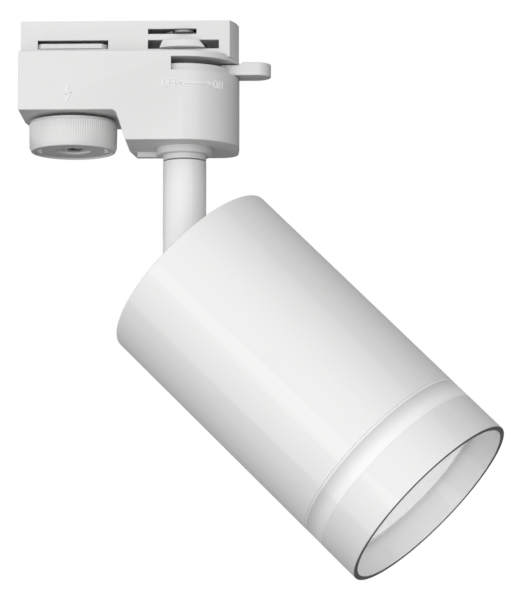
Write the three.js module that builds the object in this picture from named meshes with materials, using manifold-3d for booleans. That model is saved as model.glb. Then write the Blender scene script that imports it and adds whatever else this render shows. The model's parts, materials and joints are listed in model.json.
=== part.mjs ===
// Track spotlight with a two-wire track adapter, a round stem and a cylindrical head for a GU10 lamp.
// Millimetres, +Z up. The origin is on the stem's axis, in the plane of the adapter's shoulder,
// where the adapter bears against the underside of the track. X runs along the track.
import * as THREE from 'three';
import { mergeVertices } from 'three/addons/utils/BufferGeometryUtils.js';
import Module from 'manifold-3d';

const wasm = await Module();
wasm.setup();

const GAP = 0.3; // free space left between two neighbouring pieces
const ROUND = 32; // facets on a large round piece
const HEAD_ROUND = 40; // facets on the head's own rings
const SMALL_ROUND = 12; // facets on a screw, pin or wire hole
const REACH = 60; // half-length of a cutting box that only has to reach past the piece

// ---- adapter ----
const LEFT = -48.1;
const RIGHT = 16.05;
const HALF_WIDTH = 16;
const PARTING = 4.7; // the plane in y where the rear cover meets the front housing
const WALL = 1.6;
const LEFT_BOTTOM = -17.7;
const RIGHT_BOTTOM = -26.7;
const STEP_TOP = -19.6; // x of the step wall at the level of the shallow part's underside
const STEP_FOOT = -16.6; // x of the step wall at the deep part's underside
const BACK_TAPER = 1.4; // how far each end of the rear cover draws in by its rear face
const BACK_CORNER = 5;
const INSERT_TOP = 10.1;
const INSERT_HALF = 9.5;
const INSERT_END_RADIUS = 20;
const INSERT_WALL = 1.2;

// ---- lock ----
const LOCK_X = -33.15;
const SLOT_FLOOR = 1.65;
const SLOT_CEILING = 4.35;
const LOCK_SLOT_HALF = 10.45;
const PLATE_RADIUS = 12.8;
const PLATE_HALF = 9.2;
const PLATE_BOTTOM = 1.95;
const PLATE_TOP = 3.45;
const KNOB_RADIUS = 13.05;
const KNOB_TOP = -18.6;
const KNOB_BOTTOM = -27.6;
const LOCK_SHAFT_RADIUS = 4;

// ---- contact rotor and its lever ----
const DISC_RADIUS = 14.1;
const DISC_TOP = -3.55;
const DISC_BOTTOM = -6.6;
const LEVER_SLOT_TOP = -1.85;
const LEVER_SLOT_BOTTOM = -5.9;
const LEVER_SLOT_LEFT = -3.3;
const LEVER_TOP = -1.4;
const LEVER_BOTTOM = -5.4;
const LEVER_HALF = 4.4;
const LEVER_TIP = 25.6;
const CAM_RADIUS = 12.3;
const CAM_HALF = 6.5;
const CAM_TOP = 4.1;
const CAM_SLOT_HALF = 10.5;
const CONTACT_FLOOR = 6.1;
const CONTACT_CEILING = 7.7;
const CONTACT_REACH = 10.9;

// ---- swivel and stem ----
const COLLAR_RADIUS = 8.4;
const COLLAR_BOTTOM = -28.8;
const STEM_RADIUS = 6.4;
const NECK_BOTTOM = -30.4;
const STEM_BORE = 5.4;
const BUSHING_BARREL = 6.9;
const NIPPLE_RADIUS = 4.7;
const NIPPLE_BORE = 3.6;
const NIPPLE_TOP = -12.4;
const PIVOT_Z = -61.4;
const PAN = THREE.MathUtils.degToRad(-15); // heading of the head about the stem as it stands
const TILT = THREE.MathUtils.degToRad(45.7); // slope of the head from straight down as it stands
const FORK_SLOT = 5.6;
const FORK_SLOT_TOP = -53;
const FLOOR_TOP = RIGHT_BOTTOM + WALL;
const BUSHING_NUT_THICK = 3;
const BUSHING_TOP = FLOOR_TOP + GAP + BUSHING_NUT_THICK + 0.6;
const WASHER_BOTTOM = BUSHING_TOP + GAP;
const STOP_BOTTOM = WASHER_BOTTOM + 0.6 + GAP;
const STOP_THICK = 0.8;
const STOP_HALF = 1.2; // half-width of the stop washer's tab, and of the rib that it meets
const SWIVEL_NUT_BOTTOM = STOP_BOTTOM + STOP_THICK + GAP;

// ---- head, measured along its axis from the tilt pivot towards the mouth ----
const HEAD_RADIUS = 30;
const HEAD_WALL = 1.5;
const HEAD_REAR = 3;
const TUBE_END = 83;
const RING_END = 90.2;
const MOUTH = 103.35;
const CAP_REAR = 8;
const CAP_FRONT = 10.5;
const LUG_THICK = 5;
const LUG_RADIUS = 4.5;
const RING_BORE = 26.2;
const SPIGOT_RADIUS = 28.2;
const LAMP_FACE = 86;
const LAMP_RADIUS = 25;
const LAMP_BASE = 39.5;
const LAMP_PIN_PITCH = 10; // GU10: two pins 10 mm apart
const HOLDER_REAR = 17;
const PLATE_REAR = 15.5; // rear face of the lampholder bracket's plate

// ---------- solids ----------

function solid(geometry) {
  const plain = geometry.clone();
  plain.deleteAttribute('normal');
  plain.deleteAttribute('uv');
  const merged = mergeVertices(plain, 1e-4);
  const corners = new Float32Array(merged.attributes.position.array);
  const faces = new Uint32Array(merged.index.array);
  if (signedVolume(corners, faces) < 0) {
    for (let i = 0; i < faces.length; i += 3) {
      [faces[i], faces[i + 1]] = [faces[i + 1], faces[i]];
    }
  }
  return new wasm.Manifold(new wasm.Mesh({ numProp: 3, vertProperties: corners, triVerts: faces }));
}

function signedVolume(corners, faces) {
  const a = new THREE.Vector3();
  const b = new THREE.Vector3();
  const c = new THREE.Vector3();
  let volume = 0;
  for (let i = 0; i < faces.length; i += 3) {
    a.fromArray(corners, faces[i] * 3);
    b.fromArray(corners, faces[i + 1] * 3);
    c.fromArray(corners, faces[i + 2] * 3);
    volume += a.dot(b.cross(c)) / 6;
  }
  return volume;
}

function geometryOf(body) {
  const mesh = body.getMesh();
  const geometry = new THREE.BufferGeometry();
  geometry.setAttribute('position', new THREE.BufferAttribute(new Float32Array(mesh.vertProperties), 3));
  geometry.setIndex(new THREE.BufferAttribute(new Uint32Array(mesh.triVerts), 1));
  return geometry;
}

function union(...bodies) {
  return bodies.reduce((sum, body) => sum.add(body));
}

function cut(body, ...tools) {
  return tools.reduce((rest, tool) => rest.subtract(tool), body);
}

// A turned piece: profile points are [radius, z].
function turned(profile, facets = ROUND) {
  const points = profile.map(([r, z]) => new THREE.Vector2(r, z));
  const geometry = new THREE.LatheGeometry(points, facets);
  geometry.rotateX(Math.PI / 2);
  return geometry;
}

function turnedTube(outer, inner, z0, z1, facets = ROUND) {
  return turned([[inner, z0], [outer, z0], [outer, z1], [inner, z1], [inner, z0]], facets);
}

function rod(radius, z0, z1, facets = SMALL_ROUND) {
  return turned([[0, z0], [radius, z0], [radius, z1], [0, z1]], facets);
}

function block(x0, x1, y0, y1, z0, z1) {
  const geometry = new THREE.BoxGeometry(x1 - x0, y1 - y0, z1 - z0);
  return geometry.translate((x0 + x1) / 2, (y0 + y1) / 2, (z0 + z1) / 2);
}

// A plan outline in x and y, raised from z0 to z1.
function raised(shape, z0, z1, arcFacets = 12) {
  const settings = { depth: z1 - z0, bevelEnabled: false, curveSegments: arcFacets };
  return new THREE.ExtrudeGeometry(shape, settings).translate(0, 0, z0);
}

// An elevation outline in x and z, carried from y0 to y1.
function carried(shape, y0, y1, arcFacets = 8) {
  const settings = { depth: y1 - y0, bevelEnabled: false, curveSegments: arcFacets };
  return new THREE.ExtrudeGeometry(shape, settings).rotateX(Math.PI / 2).translate(0, y1, 0);
}

function outline(points) {
  const shape = new THREE.Shape();
  shape.moveTo(...points[0]);
  points.slice(1).forEach((point) => shape.lineTo(...point));
  shape.closePath();
  return shape;
}

function hexagon(acrossFlats, bore, z0, z1) {
  const shape = new THREE.Shape();
  const corner = acrossFlats / Math.sqrt(3);
  for (let i = 0; i < 6; i += 1) {
    const angle = (i * Math.PI) / 3;
    const place = [corner * Math.cos(angle), corner * Math.sin(angle)];
    if (i === 0) shape.moveTo(...place);
    else shape.lineTo(...place);
  }
  shape.closePath();
  const hole = new THREE.Path();
  hole.absarc(0, 0, bore, 0, Math.PI * 2, true);
  shape.holes.push(hole);
  return raised(shape, z0, z1, SMALL_ROUND / 2);
}

function wire(points, radius) {
  const section = new THREE.Shape();
  section.absarc(0, 0, radius, 0, Math.PI * 2);
  const path = new THREE.CatmullRomCurve3(points.map((point) => new THREE.Vector3(...point)));
  const settings = { steps: 14, bevelEnabled: false, extrudePath: path, curveSegments: 4 };
  return new THREE.ExtrudeGeometry(section, settings);
}

// A rod along y: from y0 to y1 at the place x, z.
function crossRod(radius, y0, y1, x, z, facets = SMALL_ROUND) {
  return rod(radius, -y1, -y0, facets).rotateX(Math.PI / 2).translate(x, 0, z);
}

const group = new THREE.Group();
group.name = 'track_spotlight';

// ---------- materials ----------

function whitePlastic() {
  return new THREE.MeshStandardMaterial({ color: 0xf0f0ee, roughness: 0.45, metalness: 0 });
}
function powderCoat() {
  return new THREE.MeshStandardMaterial({ color: 0xf2f2f0, roughness: 0.5, metalness: 0.1 });
}
function zincedSteel() {
  return new THREE.MeshStandardMaterial({ color: 0xb9bcc0, roughness: 0.35, metalness: 0.9 });
}
function tinnedCopper() {
  return new THREE.MeshStandardMaterial({ color: 0xa9a8a6, roughness: 0.35, metalness: 0.95 });
}
function brass() {
  return new THREE.MeshStandardMaterial({ color: 0xc9a552, roughness: 0.35, metalness: 0.9 });
}
function aluminium() {
  return new THREE.MeshStandardMaterial({ color: 0xc8cacc, roughness: 0.4, metalness: 0.85 });
}
function frostedAcrylic() {
  return new THREE.MeshStandardMaterial({ color: 0xf4f7f8, roughness: 0.35, metalness: 0 });
}
function ceramic() {
  return new THREE.MeshStandardMaterial({ color: 0xe9e4d8, roughness: 0.6, metalness: 0 });
}
function glass() {
  return new THREE.MeshStandardMaterial({ color: 0xe8eef0, roughness: 0.1, metalness: 0 });
}
function sleeve(color) {
  return new THREE.MeshStandardMaterial({ color, roughness: 0.5, metalness: 0 });
}
function blackRubber() {
  return new THREE.MeshStandardMaterial({ color: 0x2b2b2d, roughness: 0.8, metalness: 0 });
}

function addPiece(name, body, material, place = new THREE.Matrix4()) {
  const geometry = geometryOf(body);
  geometry.applyMatrix4(place);
  geometry.computeVertexNormals();
  const mesh = new THREE.Mesh(geometry, material);
  mesh.name = name;
  group.add(mesh);
}

const stemPlace = new THREE.Matrix4().makeRotationZ(PAN);
const headPlace = new THREE.Matrix4()
  .makeTranslation(0, 0, PIVOT_Z)
  .multiply(new THREE.Matrix4().makeRotationZ(PAN))
  .multiply(new THREE.Matrix4().makeRotationY(Math.PI - TILT));

// ---------- adapter casing ----------

// Elevation of the lower housing, drawn in from its outer faces by `inset`.
function housingElevation(inset, top) {
  const left = LEFT + inset;
  return outline([
    [left, top],
    [left, LEFT_BOTTOM + inset],
    [STEP_TOP + inset, LEFT_BOTTOM + inset],
    [STEP_FOOT + inset, RIGHT_BOTTOM + inset],
    [RIGHT - inset, RIGHT_BOTTOM + inset],
    [RIGHT - inset, top],
  ]);
}

// Plan of the whole lower housing: half-round at the right in front, a rounded corner behind.
function housingPlan(inset) {
  const shape = new THREE.Shape();
  const front = -HALF_WIDTH + inset;
  const back = HALF_WIDTH - inset;
  const right = RIGHT - inset;
  const corner = BACK_CORNER - inset;
  shape.moveTo(LEFT - 1, front);
  shape.lineTo(0, front);
  shape.absarc(0, 0, HALF_WIDTH - inset, -Math.PI / 2, 0, false);
  shape.lineTo(right, PARTING);
  shape.lineTo(right - BACK_TAPER * 0.6, back - corner);
  shape.absarc(right - BACK_TAPER * 0.6 - corner, back - corner, corner, 0, Math.PI / 2, false);
  shape.lineTo(LEFT - 1, back);
  shape.closePath();
  return shape;
}

// The rear cover's own outline draws in towards its rear face at both ends.
function taperedBack(inset, top) {
  const geometry = carried(housingElevation(inset, top), PARTING - 1, HALF_WIDTH - inset);
  const place = geometry.attributes.position;
  for (let i = 0; i < place.count; i += 1) {
    const behind = (place.getY(i) - PARTING) / (HALF_WIDTH - PARTING);
    if (place.getX(i) < 0 && behind > 0) place.setX(i, place.getX(i) + BACK_TAPER * behind);
  }
  return geometry;
}

function housingSolid(inset, top) {
  const frontPart = carried(housingElevation(inset, top), -HALF_WIDTH + inset, PARTING);
  const both = union(solid(frontPart), solid(taperedBack(inset, top)));
  return both.intersect(solid(raised(housingPlan(inset), RIGHT_BOTTOM - 1, top + 1)));
}

// Plan of the insert: straight sides and a shallow round end that meets them at crisp corners.
function insertPlan(inset) {
  const shape = new THREE.Shape();
  const half = INSERT_HALF - inset;
  const radius = INSERT_END_RADIUS - inset;
  const centre = RIGHT - INSERT_END_RADIUS;
  const spread = Math.asin(half / radius);
  shape.moveTo(LEFT + inset, -half);
  shape.lineTo(centre + radius * Math.cos(spread), -half);
  shape.absarc(centre, 0, radius, -spread, spread, false);
  shape.lineTo(LEFT + inset, half);
  shape.closePath();
  return shape;
}

function casing() {
  const outer = union(housingSolid(0, 0), solid(raised(insertPlan(0), -1, INSERT_TOP, 6)));
  const cavity = union(
    housingSolid(WALL, -WALL),
    solid(raised(insertPlan(INSERT_WALL), -3, INSERT_TOP - WALL, 6)),
  );
  return outer.subtract(cavity);
}

// Openings that both halves of the casing share, front and back.
function casingOpenings() {
  const lockSlot = block(
    LOCK_X + 0.5 - LOCK_SLOT_HALF, LOCK_X + 0.5 + LOCK_SLOT_HALF, -REACH, REACH, SLOT_FLOOR, SLOT_CEILING,
  );
  const camSlot = block(-CAM_SLOT_HALF, CAM_SLOT_HALF, -REACH, REACH, SLOT_FLOOR, SLOT_CEILING);
  const lineSlot = block(-CAM_SLOT_HALF, 3.9, -REACH, 0, CONTACT_FLOOR, CONTACT_CEILING);
  const neutralSlot = block(-3.9, CAM_SLOT_HALF, 0, REACH, CONTACT_FLOOR, CONTACT_CEILING);
  const lockHole = rod(LOCK_SHAFT_RADIUS + GAP, -30, 0, 24).translate(LOCK_X, 0, 0);
  const bushingHole = rod(BUSHING_BARREL + GAP, -30, -20, 32);
  return [lockSlot, camSlot, lineSlot, neutralSlot, lockHole, bushingHole].map(solid);
}

function leverSlot() {
  const wide = block(
    LEVER_SLOT_LEFT, REACH, -REACH, PARTING, LEVER_SLOT_BOTTOM, LEVER_SLOT_TOP,
  );
  return solid(wide);
}

// A small tab of the rear cover that hangs below the deep part's underside at the parting.
const TAB = { left: -14.4, right: -8.5, thick: 2.4, bottom: -28.2 };

function coverTab() {
  const front = PARTING + GAP / 2;
  return solid(block(TAB.left, TAB.right, front, PARTING + TAB.thick, TAB.bottom, RIGHT_BOTTOM + 0.5));
}

const COVER_SCREWS = [[-43.4, -9.5], [-20.6, -11]];
const SCREW_BOSS = 3;
const SCREW_SHANK = 1.4;
const SCREW_HEAD = 2.8;
const SCREW_HEAD_DEEP = 2.2;

// The rib that stops the stem's washer, standing in from the casing's round end.
function swivelStop() {
  const rib = block(9.9, HALF_WIDTH - 0.8, -STOP_HALF, STOP_HALF, STOP_BOTTOM - 0.7, STOP_BOTTOM + 1.5);
  return solid(rib.rotateZ(PAN));
}

function frontHousing(shell) {
  const keep = solid(block(-REACH, REACH, -REACH, PARTING - GAP / 2, -REACH, REACH));
  const slots = [...casingOpenings(), leverSlot()];
  let body = cut(shell.intersect(keep), ...slots).add(swivelStop());
  COVER_SCREWS.forEach(([x, z]) => {
    body = body.add(solid(crossRod(SCREW_BOSS, -HALF_WIDTH + 1, PARTING - GAP / 2, x, z)));
    body = body.subtract(solid(crossRod(SCREW_SHANK + GAP, -6, PARTING + 1, x, z)));
  });
  return body;
}

function rearCover(shell) {
  const keep = solid(block(-REACH, REACH, PARTING + GAP / 2, REACH, -REACH, REACH));
  let body = cut(shell.intersect(keep).add(coverTab()), ...casingOpenings());
  COVER_SCREWS.forEach(([x, z]) => {
    body = body.add(solid(crossRod(SCREW_BOSS + 1.1, PARTING + GAP / 2, HALF_WIDTH - 1, x, z)));
    body = body.subtract(solid(crossRod(SCREW_SHANK + GAP, PARTING - 1, HALF_WIDTH + 1, x, z)));
    const sunk = HALF_WIDTH - SCREW_HEAD_DEEP - 1;
    body = body.subtract(solid(crossRod(SCREW_HEAD + GAP, sunk, HALF_WIDTH + 1, x, z)));
  });
  return body;
}

function coverScrew([x, z]) {
  const headBack = HALF_WIDTH - 0.7;
  const headFront = headBack - SCREW_HEAD_DEEP + 0.1;
  const head = crossRod(SCREW_HEAD, headFront, headBack, x, z);
  const shank = crossRod(SCREW_SHANK, -3, headFront + 0.2, x, z);
  const slot = block(x - 2.2, x + 2.2, headBack - 0.8, headBack + 1, z - 0.4, z + 0.4);
  const cross = block(x - 0.4, x + 0.4, headBack - 0.8, headBack + 1, z - 2.2, z + 2.2);
  return cut(union(solid(head), solid(shank)), solid(slot), solid(cross));
}

// ---------- lock ----------

function lockKnob() {
  const rim = KNOB_RADIUS;
  const profile = [
    [LOCK_SHAFT_RADIUS - 1, KNOB_TOP], [rim - 0.6, KNOB_TOP], [rim, KNOB_TOP - 0.6],
    [rim, KNOB_BOTTOM + 0.8], [rim - 0.8, KNOB_BOTTOM], [rim - 1.6, KNOB_BOTTOM],
    [rim - 2, KNOB_BOTTOM + 0.5], [5.2, KNOB_BOTTOM + 0.5], [4.6, KNOB_BOTTOM + 1.6],
    [LOCK_SHAFT_RADIUS - 1, KNOB_BOTTOM + 1.6], [LOCK_SHAFT_RADIUS - 1, KNOB_TOP],
  ];
  return solid(turned(profile).translate(LOCK_X, 0, 0));
}

function lockShaft() {
  const profile = [
    [0, KNOB_BOTTOM + 3.4], [2.7, KNOB_BOTTOM + 3.4], [2.7, KNOB_TOP + GAP],
    [LOCK_SHAFT_RADIUS, KNOB_TOP + GAP], [LOCK_SHAFT_RADIUS, -7], [6, -7], [6, -5.5],
    [LOCK_SHAFT_RADIUS, -5.5], [LOCK_SHAFT_RADIUS, PLATE_BOTTOM - GAP],
    [2.4, PLATE_BOTTOM - GAP], [2.4, PLATE_TOP + 0.6], [0, PLATE_TOP + 0.6],
  ];
  return solid(turned(profile, 20).translate(LOCK_X, 0, 0));
}

function lockPlate() {
  const disc = solid(rod(PLATE_RADIUS, PLATE_BOTTOM, PLATE_TOP, HEAD_ROUND));
  const flats = solid(block(-REACH, REACH, -PLATE_HALF, PLATE_HALF, -REACH, REACH));
  const hole = solid(rod(2.4 + GAP, -REACH, REACH));
  const plate = disc.intersect(flats).subtract(hole);
  return solid(geometryOf(plate).translate(LOCK_X, 0, 0));
}

function lockSpring() {
  const turns = 3.5;
  const low = LEFT_BOTTOM + WALL + 1;
  const high = -7.8;
  const points = [];
  for (let i = 0; i <= turns * 10; i += 1) {
    const angle = (i / 10) * Math.PI * 2;
    const z = low + ((high - low) * i) / (turns * 10);
    points.push(new THREE.Vector3(LOCK_X + 5.2 * Math.cos(angle), 5.2 * Math.sin(angle), z));
  }
  const section = new THREE.Shape();
  section.absarc(0, 0, 0.45, 0, Math.PI * 2);
  const path = new THREE.CatmullRomCurve3(points);
  const settings = { steps: turns * 12, bevelEnabled: false, extrudePath: path, curveSegments: 3 };
  return solid(new THREE.ExtrudeGeometry(section, settings));
}

function knobScrew() {
  const low = KNOB_BOTTOM + 0.4;
  const head = rod(2.6, low, low + 0.9);
  const slot = block(-3, 3, -0.4, 0.4, low - 1, low + 0.4);
  const body = cut(solid(head), solid(slot));
  const shank = solid(rod(1.1, low + 0.7, KNOB_BOTTOM + 3.1));
  return solid(geometryOf(body.add(shank)).translate(LOCK_X, 0, 0));
}

// ---------- contact rotor ----------

function contactLever() {
  const disc = solid(rod(DISC_RADIUS, DISC_BOTTOM, DISC_TOP, ROUND));
  const tip = new THREE.Shape();
  const root = 16.7;
  tip.moveTo(root + 1, -LEVER_HALF);
  tip.lineTo(LEVER_TIP - LEVER_HALF, -LEVER_HALF);
  tip.absarc(LEVER_TIP - LEVER_HALF, 0, LEVER_HALF, -Math.PI / 2, Math.PI / 2, false);
  tip.lineTo(root + 1, LEVER_HALF);
  tip.closePath();
  const tab = solid(raised(tip, LEVER_BOTTOM, LEVER_TOP, 12));
  const armTop = LEVER_SLOT_TOP - GAP - 0.1;
  const ramp = outline([
    [DISC_RADIUS - 3, LEVER_BOTTOM], [root + 1.5, LEVER_BOTTOM], [root + 1.5, LEVER_TOP],
    [root + 0.7, LEVER_TOP], [root - 0.4, armTop], [DISC_RADIUS - 3, armTop],
  ]);
  const arm = solid(carried(ramp, -LEVER_HALF, LEVER_HALF));
  const hub = solid(rod(5.2, -8.6, DISC_BOTTOM + 0.5, 24));
  const bore = solid(rod(3.2, -REACH, REACH, 24));
  return union(disc, tab, arm, hub).subtract(bore);
}

// The carrier stands on the lever's disc and holds the locking cam and both contacts.
function contactCarrier() {
  const spigot = solid(rod(2.9, -8.2, DISC_TOP + 1, 24));
  const column = solid(rod(6, DISC_TOP + GAP, 8.1, 32));
  const disc = solid(rod(CAM_RADIUS, SLOT_FLOOR + GAP, CAM_TOP, ROUND));
  const lobes = solid(block(-CAM_HALF, CAM_HALF, -REACH, REACH, -REACH, REACH));
  const cam = disc.intersect(lobes);
  const bore = solid(rod(1.6, -REACH, REACH, 16));
  const seats = [1, -1].map((side) => {
    const reach = [side * 2.6, side * 20].sort((a, b) => a - b);
    return solid(block(-3.3, 3.3, reach[0], reach[1], CONTACT_FLOOR - 0.1, CONTACT_CEILING + 1));
  });
  return cut(union(spigot, column, cam), bore, ...seats);
}

// A sprung strip whose rounded nose reaches out of the slot when the lever is at ON.
function contact(side) {
  const nose = new THREE.Shape();
  nose.moveTo(-2.9, 2.95);
  nose.lineTo(2.9, 2.95);
  nose.lineTo(2.9, CONTACT_REACH - 1.6);
  nose.lineTo(1.5, CONTACT_REACH);
  nose.lineTo(-1.5, CONTACT_REACH);
  nose.lineTo(-2.9, CONTACT_REACH - 1.6);
  nose.closePath();
  const strip = raised(nose, CONTACT_FLOOR + GAP, CONTACT_FLOOR + GAP + 0.8);
  if (side < 0) strip.rotateZ(Math.PI);
  return solid(strip);
}

// ---------- swivel ----------

function swivelBushing() {
  const bore = NIPPLE_RADIUS + GAP;
  return solid(turned([
    [bore, NECK_BOTTOM], [STEM_RADIUS - 0.2, NECK_BOTTOM], [STEM_RADIUS, NECK_BOTTOM + 0.2],
    [STEM_RADIUS, COLLAR_BOTTOM], [COLLAR_RADIUS - 0.3, COLLAR_BOTTOM],
    [COLLAR_RADIUS, COLLAR_BOTTOM + 0.3], [COLLAR_RADIUS, RIGHT_BOTTOM - GAP],
    [BUSHING_BARREL, RIGHT_BOTTOM - GAP], [BUSHING_BARREL, BUSHING_TOP], [bore, BUSHING_TOP],
    [bore, NECK_BOTTOM],
  ]));
}

function bushingNut() {
  return solid(hexagon(17, BUSHING_BARREL + GAP, FLOOR_TOP + GAP, FLOOR_TOP + GAP + BUSHING_NUT_THICK));
}

function swivelNipple() {
  return solid(turnedTube(NIPPLE_RADIUS, NIPPLE_BORE, -37, NIPPLE_TOP, 32));
}

function frictionWasher() {
  return solid(turnedTube(8, NIPPLE_RADIUS + GAP, WASHER_BOTTOM, WASHER_BOTTOM + 0.6));
}

function stopWasher() {
  const ring = solid(turnedTube(7.6, NIPPLE_RADIUS + GAP, STOP_BOTTOM, STOP_BOTTOM + STOP_THICK));
  const tab = solid(block(-11.6, -6.6, -STOP_HALF, STOP_HALF, STOP_BOTTOM, STOP_BOTTOM + STOP_THICK));
  return union(ring, tab);
}

function swivelNut() {
  return solid(hexagon(14, NIPPLE_RADIUS + GAP, SWIVEL_NUT_BOTTOM, SWIVEL_NUT_BOTTOM + 3.2));
}

// ---------- stem ----------

// Everything below the pivot stays within a radius of the hinge axis, so that the end can turn.
function withRoundEnd(body, radius) {
  const above = solid(block(-REACH, REACH, -REACH, REACH, PIVOT_Z, REACH));
  const knuckle = solid(crossRod(radius, -REACH, REACH, 0, PIVOT_Z, ROUND));
  return body.intersect(union(above, knuckle));
}

function forkSlot() {
  return solid(block(-REACH, REACH, -FORK_SLOT / 2, FORK_SLOT / 2, -REACH * 2, FORK_SLOT_TOP));
}

function pivotHole() {
  return solid(crossRod(2.3, -REACH, REACH, 0, PIVOT_Z, 16));
}

function stemTube() {
  const tube = solid(turnedTube(STEM_RADIUS, STEM_BORE, PIVOT_Z - 8, NECK_BOTTOM - GAP));
  return cut(withRoundEnd(tube, STEM_RADIUS), forkSlot(), pivotHole());
}

function stemForkBlock() {
  const plug = solid(rod(STEM_BORE - GAP, PIVOT_Z - 8, -44, 32));
  const wireway = solid(rod(2.7, -REACH, -43, 20));
  const body = withRoundEnd(plug, STEM_RADIUS - GAP);
  const topOnly = solid(block(-REACH, REACH, -REACH, REACH, FORK_SLOT_TOP - 1, REACH));
  return cut(body, forkSlot(), pivotHole(), wireway.intersect(topOnly));
}

function tiltScrew() {
  const head = crossRod(3, -STEM_RADIUS - 3, -STEM_RADIUS - 1.2, 0, PIVOT_Z);
  const shank = crossRod(2, -STEM_RADIUS - 1.4, STEM_RADIUS + 2.6, 0, PIVOT_Z);
  const recess = crossRod(1.3, -STEM_RADIUS - 4, -STEM_RADIUS - 2, 0, PIVOT_Z, 6);
  return cut(union(solid(head), solid(shank)), solid(recess));
}

function tiltWasher() {
  const ring = turnedTube(3.6, 2.3, STEM_RADIUS + 0.1, STEM_RADIUS + 0.9, 24);
  return solid(ring.rotateX(Math.PI / 2).translate(0, 0, PIVOT_Z));
}

function tiltNut() {
  const nut = hexagon(7, 2.3, -STEM_RADIUS - 2.6, -STEM_RADIUS - GAP);
  return solid(nut.rotateX(Math.PI / 2).translate(0, 0, PIVOT_Z));
}

function stemWire(side) {
  const x = side * 1.25;
  return solid(wire([
    [x, 0, -11.4], [x, 0.4, -20], [x, -0.4, -32], [x, 0.4, -42], [x, 0, -52.5],
  ], 0.85));
}

// ---------- head, drawn with its axis on z and the pivot at the origin ----------

function headTube() {
  const bore = HEAD_RADIUS - HEAD_WALL;
  return solid(turned([
    [27, HEAD_REAR], [HEAD_RADIUS - 0.5, HEAD_REAR], [HEAD_RADIUS, HEAD_REAR + 0.5],
    [HEAD_RADIUS, TUBE_END - GAP / 2], [bore, TUBE_END - GAP / 2], [bore, CAP_REAR - GAP],
    [27, CAP_REAR - GAP], [27, HEAD_REAR],
  ], HEAD_ROUND));
}

const WIRE_PORT = 13; // distance of the wire hole from the head's axis
const BRACKET_SCREW = 19.5;

function rearCap() {
  const disc = solid(rod(SPIGOT_RADIUS, CAP_REAR, CAP_FRONT, HEAD_ROUND));
  const arm = block(-LUG_RADIUS, LUG_RADIUS, -LUG_THICK / 2, LUG_THICK / 2, 0, CAP_REAR + 1);
  const eye = crossRod(LUG_RADIUS, -LUG_THICK / 2, LUG_THICK / 2, 0, 0, 32);
  const port = rod(3.2, 0, 20).translate(0, WIRE_PORT, 0);
  const pivot = crossRod(2.3, -REACH, REACH, 0, 0);
  const holes = [-1, 1].map((side) => solid(rod(1.8, 0, 20).translate(side * BRACKET_SCREW, 0, 0)));
  return cut(union(disc, solid(arm), solid(eye)), solid(pivot), solid(port), ...holes);
}

function capRing() {
  const z0 = CAP_FRONT + GAP;
  const ring = solid(turnedTube(SPIGOT_RADIUS, 26, z0, z0 + 1.2, HEAD_ROUND));
  return ring.subtract(solid(block(-2.5, 2.5, 0, REACH, 0, 20)));
}

function portGrommet() {
  const ring = turned([
    [1.9, CAP_REAR - 1], [4.4, CAP_REAR - 1], [4.4, CAP_REAR - GAP], [2.9, CAP_REAR - GAP],
    [2.9, CAP_FRONT + GAP], [4.4, CAP_FRONT + GAP], [4.4, CAP_FRONT + 1.1],
    [1.9, CAP_FRONT + 1.1], [1.9, CAP_REAR - 1],
  ], 24);
  return solid(ring.translate(0, WIRE_PORT, 0));
}

// A folded strap: two feet on the cap, two legs and the plate that carries the lampholder.
function holderBracket() {
  const foot = CAP_FRONT + GAP;
  const half = 8;
  const thick = 1.2;
  const plate = block(-15.2, 15.2, -half, half, PLATE_REAR - thick, PLATE_REAR);
  const pieces = [solid(plate)];
  [-1, 1].forEach((side) => {
    const legs = [side * 15.2, side * 14].sort((a, b) => a - b);
    const feet = [side * 24, side * 14].sort((a, b) => a - b);
    pieces.push(solid(block(legs[0], legs[1], -half, half, foot, PLATE_REAR)));
    pieces.push(solid(block(feet[0], feet[1], -half, half, foot, foot + thick)));
  });
  const bores = [-1, 1].map((side) => solid(rod(1.8, 0, 13.5).translate(side * BRACKET_SCREW, 0, 0)));
  const holderBores = [-1, 1].map((side) => solid(rod(1.7, 5, 20).translate(side * 9, 0, 0)));
  const wireNotch = solid(block(-3.6, 3.6, 3.6, REACH, 5, 20));
  return cut(union(...pieces), ...bores, ...holderBores, wireNotch);
}

function bracketScrew(side) {
  const head = rod(3, CAP_REAR - 2.2, CAP_REAR - GAP);
  const shank = rod(1.5, CAP_REAR - 0.4, 13.6);
  const slot = block(-2.2, 2.2, -0.4, 0.4, CAP_REAR - 3, CAP_REAR - 1.5);
  const screw = cut(union(solid(head), solid(shank)), solid(slot));
  return solid(geometryOf(screw).translate(side * BRACKET_SCREW, 0, 0));
}

function lampholder() {
  const body = solid(rod(14, PLATE_REAR + GAP, LAMP_BASE - GAP, ROUND));
  const sides = solid(block(-REACH, REACH, -9.5, 9.5, 0, REACH));
  const entries = [-1, 1].map((side) => {
    const round = rod(3, LAMP_BASE - 9, LAMP_BASE + 1).translate(side * (LAMP_PIN_PITCH / 2), 0, 0);
    return solid(round);
  });
  const screws = [-1, 1].map((side) => solid(rod(1.7, 0, HOLDER_REAR + 5).translate(side * 9, 0, 0)));
  const terminalRecess = solid(block(-3.6, 3.6, 3.6, REACH, 0, HOLDER_REAR + 3));
  return cut(body.intersect(sides), ...entries, ...screws, terminalRecess);
}

function holderScrew(side) {
  const head = rod(2.6, PLATE_REAR - 3.1, PLATE_REAR - 1.5);
  const shank = rod(1.4, PLATE_REAR - 1.7, HOLDER_REAR + 3.5);
  const slot = block(-2, 2, -0.35, 0.35, PLATE_REAR - 4, PLATE_REAR - 2.6);
  const screw = cut(union(solid(head), solid(shank)), solid(slot));
  return solid(geometryOf(screw).translate(side * 9, 0, 0));
}

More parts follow.
